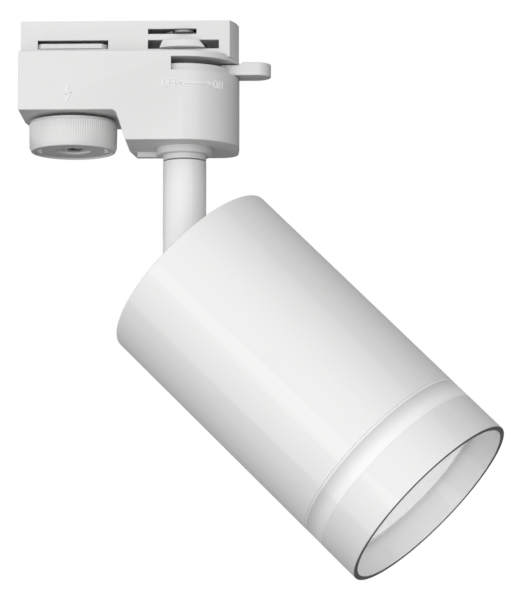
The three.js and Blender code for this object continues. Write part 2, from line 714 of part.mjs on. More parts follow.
function lampBody() {
  const outer = [
    [11.5, LAMP_BASE], [13.5, LAMP_BASE + 1], [13.8, LAMP_BASE + 13], [17.4, LAMP_BASE + 22],
    [22.6, LAMP_BASE + 34], [24.6, LAMP_BASE + 41], [LAMP_RADIUS, LAMP_FACE - 3.5],
    [LAMP_RADIUS, LAMP_FACE],
  ];
  const inner = [
    [LAMP_RADIUS - 1.2, LAMP_FACE], [LAMP_RADIUS - 1.2, LAMP_FACE - 3], [22.6, LAMP_BASE + 38],
    [20.8, LAMP_BASE + 33], [15.6, LAMP_BASE + 22], [11.5, LAMP_BASE + 14],
  ];
  return solid(turned([[0, LAMP_BASE], ...outer, ...inner, [0, LAMP_BASE + 12]], ROUND));
}

function lampLens() {
  return solid(rod(LAMP_RADIUS - 1.2 - GAP, LAMP_FACE - 2.4, LAMP_FACE - 0.6, ROUND));
}

function lampPin(side) {
  const x = side * (LAMP_PIN_PITCH / 2);
  const pin = turned([
    [0, LAMP_BASE - 7.4], [2.5, LAMP_BASE - 7.4], [2.5, LAMP_BASE - 5], [1.4, LAMP_BASE - 4.4],
    [1.4, LAMP_BASE - GAP], [0, LAMP_BASE - GAP],
  ], SMALL_ROUND);
  return solid(pin.translate(x, 0, 0));
}

function acrylicRing() {
  const low = TUBE_END + GAP / 2;
  const high = RING_END - GAP / 2;
  return solid(turned([
    [RING_BORE, TUBE_END - 5.5], [SPIGOT_RADIUS, TUBE_END - 5.5], [SPIGOT_RADIUS, low],
    [HEAD_RADIUS - 0.1, low], [HEAD_RADIUS - 0.1, high], [SPIGOT_RADIUS, high],
    [SPIGOT_RADIUS, RING_END + 4.3], [RING_BORE, RING_END + 4.3], [RING_BORE, TUBE_END - 5.5],
  ], HEAD_ROUND));
}

function frontBezel() {
  const bore = HEAD_RADIUS - HEAD_WALL;
  return solid(turned([
    [bore, RING_END + GAP / 2], [HEAD_RADIUS, RING_END + GAP / 2], [HEAD_RADIUS, MOUTH - 0.4],
    [HEAD_RADIUS - 0.4, MOUTH], [bore + 0.2, MOUTH], [bore, MOUTH - 0.2],
    [bore, RING_END + GAP / 2],
  ], HEAD_ROUND));
}

function headLead(side) {
  const x = side * 0.95;
  return solid(wire([
    [x, WIRE_PORT, CAP_REAR - 3.5], [x, WIRE_PORT, CAP_FRONT + 1.5],
    [x * 1.6, 9.8, CAP_FRONT + 4], [side * 2.2, 6.6, HOLDER_REAR - 0.3],
    [side * 2.2, 5.2, HOLDER_REAR + 2],
  ], 0.8));
}

// ---------- assembly ----------

const shell = casing();
addPiece('front_housing', frontHousing(shell), whitePlastic());
addPiece('rear_cover', rearCover(shell), whitePlastic());
COVER_SCREWS.forEach((place, i) => addPiece(`cover_screw_${i + 1}`, coverScrew(place), zincedSteel()));

addPiece('lock_knob', lockKnob(), whitePlastic());
addPiece('lock_shaft', lockShaft(), whitePlastic());
addPiece('lock_plate', lockPlate(), whitePlastic());
addPiece('lock_spring', lockSpring(), zincedSteel());
addPiece('knob_screw', knobScrew(), zincedSteel());

addPiece('contact_lever', contactLever(), whitePlastic());
addPiece('contact_carrier', contactCarrier(), whitePlastic());
addPiece('contact_line', contact(-1), tinnedCopper());
addPiece('contact_neutral', contact(1), tinnedCopper());

addPiece('swivel_bushing', swivelBushing(), whitePlastic());
addPiece('bushing_nut', bushingNut(), brass());
addPiece('swivel_nipple', swivelNipple(), zincedSteel(), stemPlace);
addPiece('friction_washer', frictionWasher(), zincedSteel(), stemPlace);
addPiece('stop_washer', stopWasher(), zincedSteel(), stemPlace);
addPiece('swivel_nut', swivelNut(), brass(), stemPlace);
addPiece('stem_tube', stemTube(), powderCoat(), stemPlace);
addPiece('stem_fork_block', stemForkBlock(), aluminium(), stemPlace);
addPiece('tilt_screw', tiltScrew(), zincedSteel(), stemPlace);
addPiece('tilt_washer', tiltWasher(), zincedSteel(), stemPlace);
addPiece('tilt_nut', tiltNut(), zincedSteel(), stemPlace);
addPiece('stem_wire_line', stemWire(-1), sleeve(0x6b3f24), stemPlace);
addPiece('stem_wire_neutral', stemWire(1), sleeve(0x3a5f9e), stemPlace);

addPiece('head_tube', headTube(), powderCoat(), headPlace);
addPiece('rear_cap', rearCap(), powderCoat(), headPlace);
addPiece('cap_ring', capRing(), zincedSteel(), headPlace);
addPiece('port_grommet', portGrommet(), blackRubber(), headPlace);
addPiece('holder_bracket', holderBracket(), zincedSteel(), headPlace);
addPiece('bracket_screw_1', bracketScrew(-1), zincedSteel(), headPlace);
addPiece('bracket_screw_2', bracketScrew(1), zincedSteel(), headPlace);
addPiece('lampholder', lampholder(), ceramic(), headPlace);
addPiece('holder_screw_1', holderScrew(-1), zincedSteel(), headPlace);
addPiece('holder_screw_2', holderScrew(1), zincedSteel(), headPlace);
addPiece('lamp_body', lampBody(), aluminium(), headPlace);
addPiece('lamp_lens', lampLens(), glass(), headPlace);
addPiece('lamp_pin_1', lampPin(-1), brass(), headPlace);
addPiece('lamp_pin_2', lampPin(1), brass(), headPlace);
addPiece('acrylic_ring', acrylicRing(), frostedAcrylic(), headPlace);
addPiece('front_bezel', frontBezel(), powderCoat(), headPlace);
addPiece('head_lead_line', headLead(-1), sleeve(0x6b3f24), headPlace);
addPiece('head_lead_neutral', headLead(1), sleeve(0x3a5f9e), headPlace);

export default group;
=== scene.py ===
"""Track spotlight: the looks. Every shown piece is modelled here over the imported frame, in metres.

The frame's origin is on the stem's axis, in the plane of the adapter's shoulder. X runs along the
track, +Z goes up into it. Sizes are written in millimetres and turned to metres by MM.
"""

import json
import math

import bmesh
import bpy
from mathutils import Matrix, Vector

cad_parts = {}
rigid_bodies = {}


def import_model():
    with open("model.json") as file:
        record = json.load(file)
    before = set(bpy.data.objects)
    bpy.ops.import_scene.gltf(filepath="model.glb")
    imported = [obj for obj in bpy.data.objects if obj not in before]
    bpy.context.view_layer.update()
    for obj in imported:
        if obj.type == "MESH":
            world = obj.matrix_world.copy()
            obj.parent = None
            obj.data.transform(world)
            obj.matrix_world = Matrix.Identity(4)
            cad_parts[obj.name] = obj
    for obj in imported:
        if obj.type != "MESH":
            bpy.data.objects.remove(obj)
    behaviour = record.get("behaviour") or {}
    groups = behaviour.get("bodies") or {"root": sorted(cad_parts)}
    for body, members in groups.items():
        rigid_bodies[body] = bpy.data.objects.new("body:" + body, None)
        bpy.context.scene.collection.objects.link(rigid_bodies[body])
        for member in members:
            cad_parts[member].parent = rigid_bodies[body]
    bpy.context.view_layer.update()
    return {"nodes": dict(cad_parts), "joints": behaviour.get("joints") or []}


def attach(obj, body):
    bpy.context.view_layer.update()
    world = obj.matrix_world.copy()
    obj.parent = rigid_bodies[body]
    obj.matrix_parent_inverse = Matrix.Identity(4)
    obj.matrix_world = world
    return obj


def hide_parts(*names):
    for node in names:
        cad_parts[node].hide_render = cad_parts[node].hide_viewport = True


for thing in list(bpy.data.objects):
    bpy.data.objects.remove(thing)

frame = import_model()

MM = 0.001
POLE = 0.002  # radius that stands for a point on the axis until the pole is closed
SMOOTH_ANGLE = math.radians(32)
joints = {joint["name"]: joint for joint in frame["joints"]}

# ---- adapter, in millimetres ----
LEFT = -48.1
RIGHT = 16.05
HALF_WIDTH = 16.0
PARTING = 4.7
SEAM = 0.05  # half the width of the joint between the two halves of the casing
WALL = 1.6
LEFT_BOTTOM = -17.7
RIGHT_BOTTOM = -26.7
STEP_TOP = -19.6
STEP_FOOT = -16.6
BACK_TAPER = 1.4
BACK_CORNER = 5.0
INSERT_TOP = 10.1
INSERT_HALF = 9.5
INSERT_END_RADIUS = 20.0
INSERT_WALL = 1.2
SLOT_FLOOR = 1.65
SLOT_CEILING = 4.35
LOCK_X = joints["lock_turn"]["pos_m"][0] / MM
LOCK_SLOT_X = LOCK_X + 0.5
LOCK_SLOT_HALF = 10.45
CAM_SLOT_HALF = 10.5
CONTACT_FLOOR = 6.1
CONTACT_CEILING = 7.7
CONTACT_SLOT_END = 3.9
LEVER_SLOT_LEFT = -3.3
LEVER_SLOT = (-5.9, -1.85)
COVER_SCREWS = ((-43.4, -9.5), (-20.6, -11.0))
EDGE = 0.35  # rounding of the casing's outer edges
INSERT_EDGE = 0.45
THROUGH = 30.0  # far enough to pass right through the adapter
MARK_RELIEF = 0.25
MARK_Z = -9.9

# ---- lock and contact rotor, in millimetres ----
KNOB_TOP = -18.6
KNOB_BOTTOM = -27.6
KNOB_RADIUS = 13.05
KNOB_RIBS = 116
RIB_DEPTH = 0.2
PLATE_RADIUS = 12.8
PLATE_HALF = 9.2
CAM_BOTTOM = 1.95
CAM_TOP = 4.1
PLATE_TOP = 3.45
CAM_RADIUS = 12.3
COLUMN_WELL = 6.4  # radius of the clear well round the contact column

# ---- stem and head, in millimetres ----
STEM_RADIUS = 6.4
STEM_BORE = 5.4
NECK_BOTTOM = -30.4
COLLAR_BOTTOM = -28.8
COLLAR_RADIUS = 8.4
PIVOT_Z = joints["head_tilt"]["pos_m"][2] / MM
PIVOT_HOLE = 2.3
FORK_SLOT = 5.6
FORK_SLOT_TOP = -53.0
HEAD_RADIUS = 30.0
HEAD_WALL = 1.5
HEAD_REAR = 3.0
TUBE_END = 83.0
RING_END = 90.2
MOUTH = 103.35
CAP_REAR = 8.0
CAP_FRONT = 10.5
SPIGOT_RADIUS = 28.2
RING_BORE = 26.2
LAMP_FACE = 86.0
LAMP_RADIUS = 25.0
LAMP_BASE = 39.5

# The tilt axis lies across the head, so it gives the heading of the stem; the slope is the head's.
tilt_axis = Vector(joints["head_tilt"]["axis"])
PAN = math.atan2(tilt_axis.x, -tilt_axis.y)
SLOPE = math.radians(45.7)
stem_place = Matrix.Rotation(PAN, 4, "Z")
head_place = (
    Matrix.Translation((0, 0, PIVOT_Z * MM)) @ stem_place @ Matrix.Rotation(math.pi - SLOPE, 4, "Y")
)


# ---------- camera, first, as the pieces don't move it ----------

def set_camera():
    data = bpy.data.cameras.new("camera")
    camera = bpy.data.objects.new("camera", data)
    bpy.context.scene.collection.objects.link(camera)
    data.sensor_width = 36.0
    data.lens = 198.24
    data.clip_end = 50
    camera.location = (0.0514, -0.9642, -0.2024)
    camera.rotation_euler = (math.radians(97.7), 0.0, math.radians(1.7))
    bpy.context.scene.camera = camera


set_camera()


# ---------- workshop: small tools for making pieces ----------

def put_down():
    """Back to object mode with nothing selected."""
    if bpy.context.object and bpy.context.object.mode != "OBJECT":
        bpy.ops.object.mode_set(mode="OBJECT")
    bpy.ops.object.select_all(action="DESELECT")


def pick_up(piece):
    put_down()
    piece.select_set(True)
    bpy.context.view_layer.objects.active = piece


def named(name):
    piece = bpy.context.object
    piece.name = name
    piece.data.name = name
    return piece


def settle(piece):
    """Applies the piece's place, turn and size to its mesh."""
    pick_up(piece)
    bpy.ops.object.transform_apply(location=True, rotation=True, scale=True)
    return piece


def face_out(piece):
    """Turns every face of the piece outwards."""
    pick_up(piece)
    bpy.ops.object.mode_set(mode="EDIT")
    bpy.ops.mesh.select_all(action="SELECT")
    bpy.ops.mesh.normals_make_consistent(inside=False)
    bpy.ops.object.mode_set(mode="OBJECT")
    return piece


def placed(piece, matrix):
    piece.matrix_world = matrix
    bpy.context.view_layer.update()
    return settle(piece)


def block(name, x, y, z):
    """A block between the given limits, each a pair in millimetres."""
    put_down()
    middle = [sum(pair) / 2 * MM for pair in (x, y, z)]
    size = [abs(pair[1] - pair[0]) * MM for pair in (x, y, z)]
    bpy.ops.mesh.primitive_cube_add(size=1, location=middle, scale=size)
    return settle(named(name))


def pick_edges(piece, wanted):
    """Edit mode with the edges selected whose middle, direction and face angle pass the test."""
    pick_up(piece)
    bpy.ops.object.mode_set(mode="EDIT")
    bpy.ops.mesh.select_mode(type="EDGE")
    bpy.ops.mesh.select_all(action="DESELECT")
    mesh = bmesh.from_edit_mesh(piece.data)
    for edge in mesh.edges:
        a, b = (v.co / MM for v in edge.verts)
        angle = edge.calc_face_angle(0.0)
        edge.select = wanted((a + b) / 2, (b - a).normalized(), math.degrees(angle))
    mesh.select_flush_mode()
    bmesh.update_edit_mesh(piece.data)


def bevel_edges(piece, wanted, width, parts=4):
    pick_edges(piece, wanted)
    bpy.ops.mesh.bevel(offset=width * MM, segments=parts, affect="EDGES", clamp_overlap=True)
    bpy.ops.object.mode_set(mode="OBJECT")
    return piece


def pick_points(piece, wanted):
    """Edit mode with the points selected whose place in millimetres passes the test."""
    pick_up(piece)
    bpy.ops.object.mode_set(mode="EDIT")
    bpy.ops.mesh.select_mode(type="VERT")
    bpy.ops.mesh.select_all(action="DESELECT")
    mesh = bmesh.from_edit_mesh(piece.data)
    for point in mesh.verts:
        point.select = wanted(point.co / MM)
    mesh.select_flush_mode()
    bmesh.update_edit_mesh(piece.data)


def move_points(piece, wanted, shift):
    """Moves the points that pass the test by a shift in millimetres."""
    pick_points(piece, wanted)
    bpy.ops.transform.translate(value=[step * MM for step in shift])
    bpy.ops.object.mode_set(mode="OBJECT")
    return piece


def slice_at(piece, point, normal):
    """Adds a loop of edges where a plane crosses the piece."""
    pick_up(piece)
    bpy.ops.object.mode_set(mode="EDIT")
    bpy.ops.mesh.select_all(action="SELECT")
    bpy.ops.mesh.bisect(plane_co=[c * MM for c in point], plane_no=normal)
    bpy.ops.object.mode_set(mode="OBJECT")
    return piece


def combine(piece, other, how):
    """Joins, cuts or keeps the common part of two closed pieces. The other piece is used up."""
    pick_up(piece)
    modifier = piece.modifiers.new("combine", "BOOLEAN")
    modifier.operation = how
    modifier.solver = "EXACT"
    modifier.object = other
    bpy.ops.object.modifier_apply(modifier=modifier.name)
    bpy.data.objects.remove(other)
    return piece


def cut(piece, *tools):
    for tool in tools:
        combine(piece, tool, "DIFFERENCE")
    return piece


def join(piece, *others):
    for other in others:
        combine(piece, other, "UNION")
    return piece


def eased(profile):
    """Rounds each profile corner that carries a third number, its easing in millimetres."""
    points = []
    closed = profile[0][:2] == profile[-1][:2]
    for i, corner in enumerate(profile):
        ease = corner[2] if len(corner) > 2 else 0
        inner = 0 < i < len(profile) - 1
        if not ease or not inner:
            points.append(Vector(corner[:2]))
            continue
        here = Vector(corner[:2])
        before = Vector(profile[i - 1][:2]) - here
        after = Vector(profile[i + 1][:2]) - here
        start = here + before.normalized() * min(ease, before.length / 2)
        end = here + after.normalized() * min(ease, after.length / 2)
        for step in range(5):
            t = step / 4
            points.append(start * (1 - t) ** 2 + here * 2 * t * (1 - t) + end * t**2)
    if closed:
        points[-1] = points[0].copy()
    return points


def turned(name, profile, steps=96, centre=(0.0, 0.0)):
    """A turned piece: a ring is drawn out from each profile point (radius, height) to the next."""
    put_down()
    points = [(max(p.x, POLE), p.y) for p in eased(profile)]
    radius, height = points[0]
    place = (centre[0] * MM, centre[1] * MM, height * MM)
    bpy.ops.mesh.primitive_circle_add(vertices=steps, radius=radius * MM, location=place)
    piece = settle(named(name))
    bpy.ops.object.mode_set(mode="EDIT")
    bpy.ops.mesh.select_mode(type="VERT")
    bpy.ops.mesh.select_all(action="SELECT")
    for new_radius, new_height in points[1:]:
        rise = (0, 0, (new_height - height) * MM)
        bpy.ops.mesh.extrude_region_move(TRANSFORM_OT_translate={"value": rise})
        scale = new_radius / radius
        middle = (centre[0] * MM, centre[1] * MM, new_height * MM)
        bpy.ops.transform.resize(value=(scale, scale, 1), center_override=middle)
        radius, height = new_radius, new_height
    bpy.ops.mesh.select_all(action="SELECT")
    bpy.ops.mesh.remove_doubles(threshold=2.5 * POLE * MM)
    bpy.ops.mesh.normals_make_consistent(inside=False)
    bpy.ops.object.mode_set(mode="OBJECT")
    return piece


def rod(name, radius, low, high, steps=48, centre=(0.0, 0.0)):
    return turned(name, [(0, low), (radius, low), (radius, high), (0, high)], steps, centre)


def cross_rod(name, radius, low, high, height, steps=48):
    """A rod along y through the given height on the z axis."""
    turn = Matrix.Translation((0, 0, height * MM)) @ Matrix.Rotation(math.radians(-90), 4, "X")
    return placed(rod(name, radius, low, high, steps), turn)


def smooth(piece):
    """Smooth shading within an angle, with the large faces kept flat."""
    pick_up(piece)
    bpy.ops.object.shade_smooth_by_angle(angle=SMOOTH_ANGLE)
    bpy.ops.object.modifier_add(type="WEIGHTED_NORMAL")
    piece.modifiers[-1].keep_sharp = True
    bpy.ops.object.modifier_apply(modifier=piece.modifiers[-1].name)


def finished(piece, body, slot, material, *nodes):
    """Shades the piece, gives it its finish, and sets it on its body in place of its CAD nodes."""
    smooth(piece)
    piece.data.materials.clear()
    piece.data.materials.append(material)
    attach(piece, body)
    if nodes:
        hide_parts(*nodes)
    return piece


# ---------- finishes ----------

def finish(name, color, roughness, metallic=0.0, *, mottle=0.02, mottle_size=14.0, grain=0.0,
           grain_size=0.4, rough_spread=0.06, edge=0.0, **sockets):
    """A worked finish: faint colour mottling, uneven gloss, fine grain in relief, rubbed edges.

    Sizes are in millimetres. Other sockets of the shader are set by name, with _ for a space.
    """
    material = bpy.data.materials.new(name)
    material.use_nodes = True
    nodes = material.node_tree.nodes
    links = material.node_tree.links
    nodes.clear()
    out = nodes.new("ShaderNodeOutputMaterial")
    shader = nodes.new("ShaderNodeBsdfPrincipled")
    links.new(shader.outputs["BSDF"], out.inputs["Surface"])
    place = nodes.new("ShaderNodeTexCoord")

    cloud = nodes.new("ShaderNodeTexNoise")
    cloud.inputs["Scale"].default_value = 1 / (mottle_size * MM)
    cloud.inputs["Detail"].default_value = 3
    links.new(place.outputs["Object"], cloud.inputs["Vector"])
    tint = nodes.new("ShaderNodeMix")
    tint.data_type = "RGBA"
    tint.inputs["A"].default_value = [c * (1 - mottle) for c in color] + [1]
    tint.inputs["B"].default_value = [min(1, c * (1 + mottle)) for c in color] + [1]
    links.new(cloud.outputs["Fac"], tint.inputs["Factor"])
    color_out = tint.outputs["Result"]

    if edge:
        shape = nodes.new("ShaderNodeNewGeometry")
        rub = nodes.new("ShaderNodeMapRange")
        rub.inputs["From Min"].default_value = 0.52
        rub.inputs["From Max"].default_value = 0.62
        rub.inputs["To Max"].default_value = edge
        links.new(shape.outputs["Pointiness"], rub.inputs["Value"])
        worn = nodes.new("ShaderNodeMix")
        worn.data_type = "RGBA"
        worn.inputs["B"].default_value = [min(1, c * 1.12 + 0.02) for c in color] + [1]
        links.new(rub.outputs["Result"], worn.inputs["Factor"])
        links.new(color_out, worn.inputs["A"])
        color_out = worn.outputs["Result"]
    links.new(color_out, shader.inputs["Base Color"])

    patch = nodes.new("ShaderNodeTexNoise")
    patch.inputs["Scale"].default_value = 1 / (mottle_size * 0.35 * MM)
    patch.inputs["Detail"].default_value = 4
    links.new(place.outputs["Object"], patch.inputs["Vector"])
    gloss = nodes.new("ShaderNodeMapRange")
    gloss.inputs["From Min"].default_value = 0.3
    gloss.inputs["From Max"].default_value = 0.7
    gloss.inputs["To Min"].default_value = roughness - rough_spread / 2
    gloss.inputs["To Max"].default_value = roughness + rough_spread / 2
    links.new(patch.outputs["Fac"], gloss.inputs["Value"])
    links.new(gloss.outputs["Result"], shader.inputs["Roughness"])

    if grain:
        fine = nodes.new("ShaderNodeTexNoise")
        fine.inputs["Scale"].default_value = 1 / (grain_size * MM)
        fine.inputs["Detail"].default_value = 2
        links.new(place.outputs["Object"], fine.inputs["Vector"])
        relief = nodes.new("ShaderNodeBump")
        relief.inputs["Strength"].default_value = 1.0
        relief.inputs["Distance"].default_value = grain * MM
        links.new(fine.outputs["Fac"], relief.inputs["Height"])
        links.new(relief.outputs["Normal"], shader.inputs["Normal"])

    shader.inputs["Metallic"].default_value = metallic
    for socket, value in sockets.items():
        shader.inputs[socket.replace("_", " ")].default_value = value
    return material


def banded(material, low, high, bands):
    """Paints light and shade into a finish by how far it is along the head, from pairs of place and
    brightness.
    """
    nodes, links = material.node_tree.nodes, material.node_tree.links
    shader = next(node for node in nodes if node.type == "BSDF_PRINCIPLED")
    place = next(node for node in nodes if node.type == "TEX_COORD")
    base = shader.inputs["Base Color"].links[0].from_socket
    back = head_place.inverted()
    turn = nodes.new("ShaderNodeMapping")
    turn.inputs["Rotation"].default_value = back.to_euler()
    turn.inputs["Location"].default_value = back.to_translation()
    links.new(place.outputs["Object"], turn.inputs["Vector"])
    split = nodes.new("ShaderNodeSeparateXYZ")
    links.new(turn.outputs["Vector"], split.inputs["Vector"])
    along = nodes.new("ShaderNodeMapRange")
    along.inputs["From Min"].default_value = low * MM
    along.inputs["From Max"].default_value = high * MM
    links.new(split.outputs["Z"], along.inputs["Value"])
    ramp = nodes.new("ShaderNodeValToRGB")
    while len(ramp.color_ramp.elements) < len(bands):
        ramp.color_ramp.elements.new(0.5)
    for element, (spot, value) in zip(ramp.color_ramp.elements, bands):
        element.position = (spot - low) / (high - low)
        element.color = (value, value, value, 1)
    links.new(along.outputs["Result"], ramp.inputs["Fac"])
    shade = nodes.new("ShaderNodeMix")
    shade.data_type = "RGBA"
    shade.blend_type = "MULTIPLY"
    shade.inputs["Factor"].default_value = 1
    links.new(base, shade.inputs["A"])
    links.new(ramp.outputs["Color"], shade.inputs["B"])
    links.new(shade.outputs["Result"], shader.inputs["Base Color"])


white_plastic = finish("white_plastic", (0.755, 0.755, 0.75), 0.45, grain=0.006, grain_size=0.25,
                       mottle=0.012, edge=0.35, Specular_IOR_Level=0.4)
# The raised marks are the casing's plastic drawn lighter: a painted highlight for the light that
# their relief catches.
raised_mark_painted_highlight = finish("raised_mark_painted_highlight", (0.93, 0.93, 0.93), 0.35, grain=0.004, grain_size=0.25,
                     mottle=0.02, mottle_size=2.0)
powder_coat = finish("white_powder_coat", (0.86, 0.86, 0.855), 0.5, grain=0.012, grain_size=0.55,
                     mottle=0.01, edge=0.3, Specular_IOR_Level=0.4)
zinced_steel = finish("zinced_steel", (0.60, 0.61, 0.63), 0.34, 1.0, grain=0.004, grain_size=0.3,
                      mottle=0.06, mottle_size=3.0, rough_spread=0.14, edge=0.4)
tinned_copper = finish("tinned_copper", (0.27, 0.27, 0.265), 0.42, 1.0, grain=0.06, grain_size=0.45,
                       mottle=0.5, mottle_size=0.7, rough_spread=0.3)
brass = finish("brass", (0.74, 0.58, 0.30), 0.32, 1.0, grain=0.004, grain_size=0.3,
               mottle=0.06, mottle_size=3.0, rough_spread=0.12)
bare_aluminium = finish("bare_aluminium", (0.72, 0.73, 0.74), 0.38, 1.0, grain=0.004,
                        grain_size=0.25, mottle=0.04, mottle_size=4.0, rough_spread=0.1)
lamp_white = finish("lamp_reflector", (0.80, 0.80, 0.80), 0.4, 0.0, grain=0.006, grain_size=0.4)
# The lamp is not lit: the glass's faint emission is a painted glow that lightens the mouth.
lamp_glass = finish("lamp_glass", (0.92, 0.94, 0.95), 0.08, grain=0.05, grain_size=1.6,
                    rough_spread=0.03, Transmission_Weight=0.75, IOR=1.5,
                    Emission_Color=(1, 1, 1, 1), Emission_Strength=0.35)
steatite = finish("ceramic", (0.78, 0.74, 0.66), 0.62, grain=0.02, grain_size=0.4, mottle=0.05,
                  mottle_size=2.0)
# The frosted ring's faint emission is a painted glow, and banded() below paints its light and shade
# along the head.
frosted_acrylic = finish("frosted_acrylic", (0.97, 0.97, 0.97), 0.34, grain=0.008, grain_size=0.2,
                         mottle=0.05, mottle_size=18.0, Subsurface_Weight=0.2,
                         Subsurface_Scale=0.003, Subsurface_Radius=(1, 1, 1),
                         Emission_Color=(1, 1, 1, 1), Emission_Strength=0.07)
# The bezel's coat, darkened at the mouth's rim by banded() below: painted shade.
bezel_coat_painted_rim_shade = powder_coat.copy()
bezel_coat_painted_rim_shade.name = "white_powder_coat_painted_rim_shade"
rubber = finish("black_rubber", (0.035, 0.035, 0.037), 0.78, grain=0.02, grain_size=0.3,
                mottle=0.15, mottle_size=2.0)
brown_sleeve = finish("brown_sleeve", (0.18, 0.08, 0.035), 0.5, grain=0.006, mottle=0.08,
                      mottle_size=2.0)
blue_sleeve = finish("blue_sleeve", (0.04, 0.12, 0.42), 0.5, grain=0.006, mottle=0.08,
                     mottle_size=2.0)


# ---------- adapter casing ----------

# Tests for edges take the middle (m), the direction (d) and the angle between the faces (a).

def step_cutter(inset):
    """Takes away what lies under the shallow part: its right side is the sloping step wall."""
    top = LEFT_BOTTOM + inset
    low = RIGHT_BOTTOM - 3
    tool = block(
        "step_cutter", (LEFT - 5, STEP_TOP + inset), (-THROUGH, THROUGH), (low, top))
    lean = (STEP_FOOT - STEP_TOP) * (top - low) / (LEFT_BOTTOM - RIGHT_BOTTOM)
    move_points(tool, lambda p: p.x > STEP_TOP - 1 and p.z < low + 0.1, (lean, 0, 0))
    bevel_edges(tool, lambda m, d, a: abs(d.y) > 0.9 and m.z > top - 0.1 and m.x > -30, 1.2, 5)
    return tool


def front_lower(inset, back):
    """The lower housing in front of the parting, with its half-round right end."""
    piece = block(
        "front_lower", (LEFT + inset, RIGHT - inset), (-HALF_WIDTH + inset, back),
        (RIGHT_BOTTOM + inset, -inset),
    )
    bevel_edges(
        piece, lambda m, d, a: abs(d.z) > 0.9 and m.x > 0 and m.y < 0, HALF_WIDTH - inset, 40)
    return cut(piece, step_cutter(inset))


def back_lower(inset, front):
    """The lower housing behind the parting, drawn in at both ends towards the back."""
    piece = block(
        "back_lower", (LEFT + inset, RIGHT - inset), (front, HALF_WIDTH - inset),
        (RIGHT_BOTTOM + inset, -inset),
    )
    taper = BACK_TAPER / (HALF_WIDTH - PARTING)
    draw = taper * (HALF_WIDTH - inset - front)
    tool = step_cutter(inset)
    move_points(tool, lambda p: p.y > 0, (taper * THROUGH, 0, 0))
    move_points(tool, lambda p: p.y < 0, (-taper * THROUGH, 0, 0))
    move_points(tool, lambda p: True, (-taper * PARTING, 0, 0))
    cut(piece, tool)
    move_points(piece, lambda p: p.y > front + 1 and p.x < LEFT + inset + 0.1, (draw, 0, 0))
    move_points(piece, lambda p: p.y > front + 1 and p.x > 0, (-draw * 0.6, 0, 0))
    corner = BACK_CORNER - inset
    bevel_edges(piece, lambda m, d, a: abs(d.z) > 0.9 and m.x > 0 and m.y > front + 1, corner, 12)
    return piece


def insert_part(inset, y, low):
    """The part that goes up into the track, between two limits in y, with a shallow round end."""
    top = INSERT_TOP - (WALL if inset else 0)
    radius = INSERT_END_RADIUS - inset
    tip = block("tip", (-2, 30), y, (low, top))
    round_off = rod("round_off", radius, low - 1, top + 1, 160, (RIGHT - INSERT_END_RADIUS, 0))
    combine(tip, round_off, "INTERSECT")
    return join(block("insert_part", (LEFT + inset, 0), y, (low, top)), tip)


def casing_slots():
    """The slots in the insert and the two holes in the underside, as cutters."""
    lock = (LOCK_SLOT_X - LOCK_SLOT_HALF, LOCK_SLOT_X + LOCK_SLOT_HALF)
    height = (SLOT_FLOOR, SLOT_CEILING)
    contact = (CONTACT_FLOOR, CONTACT_CEILING)
    across = (-THROUGH, THROUGH)
    return [
        block("lock_slot", lock, across, height),
        block("cam_slot", (-CAM_SLOT_HALF, CAM_SLOT_HALF), across, height),
        block("line_slot", (-CAM_SLOT_HALF, CONTACT_SLOT_END), (-THROUGH, 0), contact),
        block("neutral_slot", (-CONTACT_SLOT_END, CAM_SLOT_HALF), (0, THROUGH), contact),
        rod("lock_hole", 4.3, -30, -10, 48, (LOCK_X, 0)),
        rod("bushing_hole", 7.2, -30, -20, 64),
    ]


def deck(y):
    """The partition inside the insert between the cam and the contacts."""
    plate = block("deck", (-12.5, 13.0), y, (4.55, 5.85))
    return cut(plate, rod("well", COLUMN_WELL, 0, 9, 64))


def ceiling(y):
    """The floor between the lever's slot and the insert, with a well for the contact column."""
    plate = rod("ceiling", HALF_WIDTH - 1.0, -1.8, -0.9, 96)
    combine(plate, block("half", (-12, 20), y, (-5, 5)), "INTERSECT")
    return cut(plate, rod("well", COLUMN_WELL, -5, 9, 64))


def cover_tab():
    """The small tab of the rear cover that hangs below the underside at the parting."""
    tab = block(
        "tab", (-14.4, -8.5), (PARTING + SEAM, PARTING + 2.4), (-28.2, RIGHT_BOTTOM + 0.5))
    return bevel_edges(tab, lambda m, d, a: m.z < -27, 0.2, 3)


def front_housing():
    front = -INSERT_HALF
    shell = front_lower(0, PARTING - SEAM)

    def outer_edge(m, d, a):
        return a > 30 and m.y < PARTING - 0.5

    bevel_edges(shell, outer_edge, EDGE, 3)
    top = insert_part(0, (front, PARTING - SEAM), -0.8)
    bevel_edges(top, lambda m, d, a: outer_edge(m, d, a) and m.z > 0, INSERT_EDGE, 3)
    join(shell, top)
    cavity = front_lower(WALL, PARTING + 2)
    join(cavity, insert_part(INSERT_WALL, (front + INSERT_WALL, PARTING + 2), -3))
    cut(shell, cavity, *casing_slots())
    cut(shell, block("lever_slot", (LEVER_SLOT_LEFT, 40), (-40, PARTING + 1), LEVER_SLOT))
    join(shell, deck((front + 1, PARTING - SEAM)), ceiling((-20, PARTING - SEAM)))
    for x, z in COVER_SCREWS:
        place = Matrix.Translation((x * MM, 0, 0))
        join(shell, placed(cross_rod("boss", 3.0, -HALF_WIDTH + 1, PARTING - 0.3, z), place))
        cut(shell, placed(cross_rod("bore", 1.7, -6, PARTING + 1, z, 32), place))
    shell.name = "front_housing_skin"
    return finished(shell, "adapter", "white_plastic", white_plastic, "front_housing")


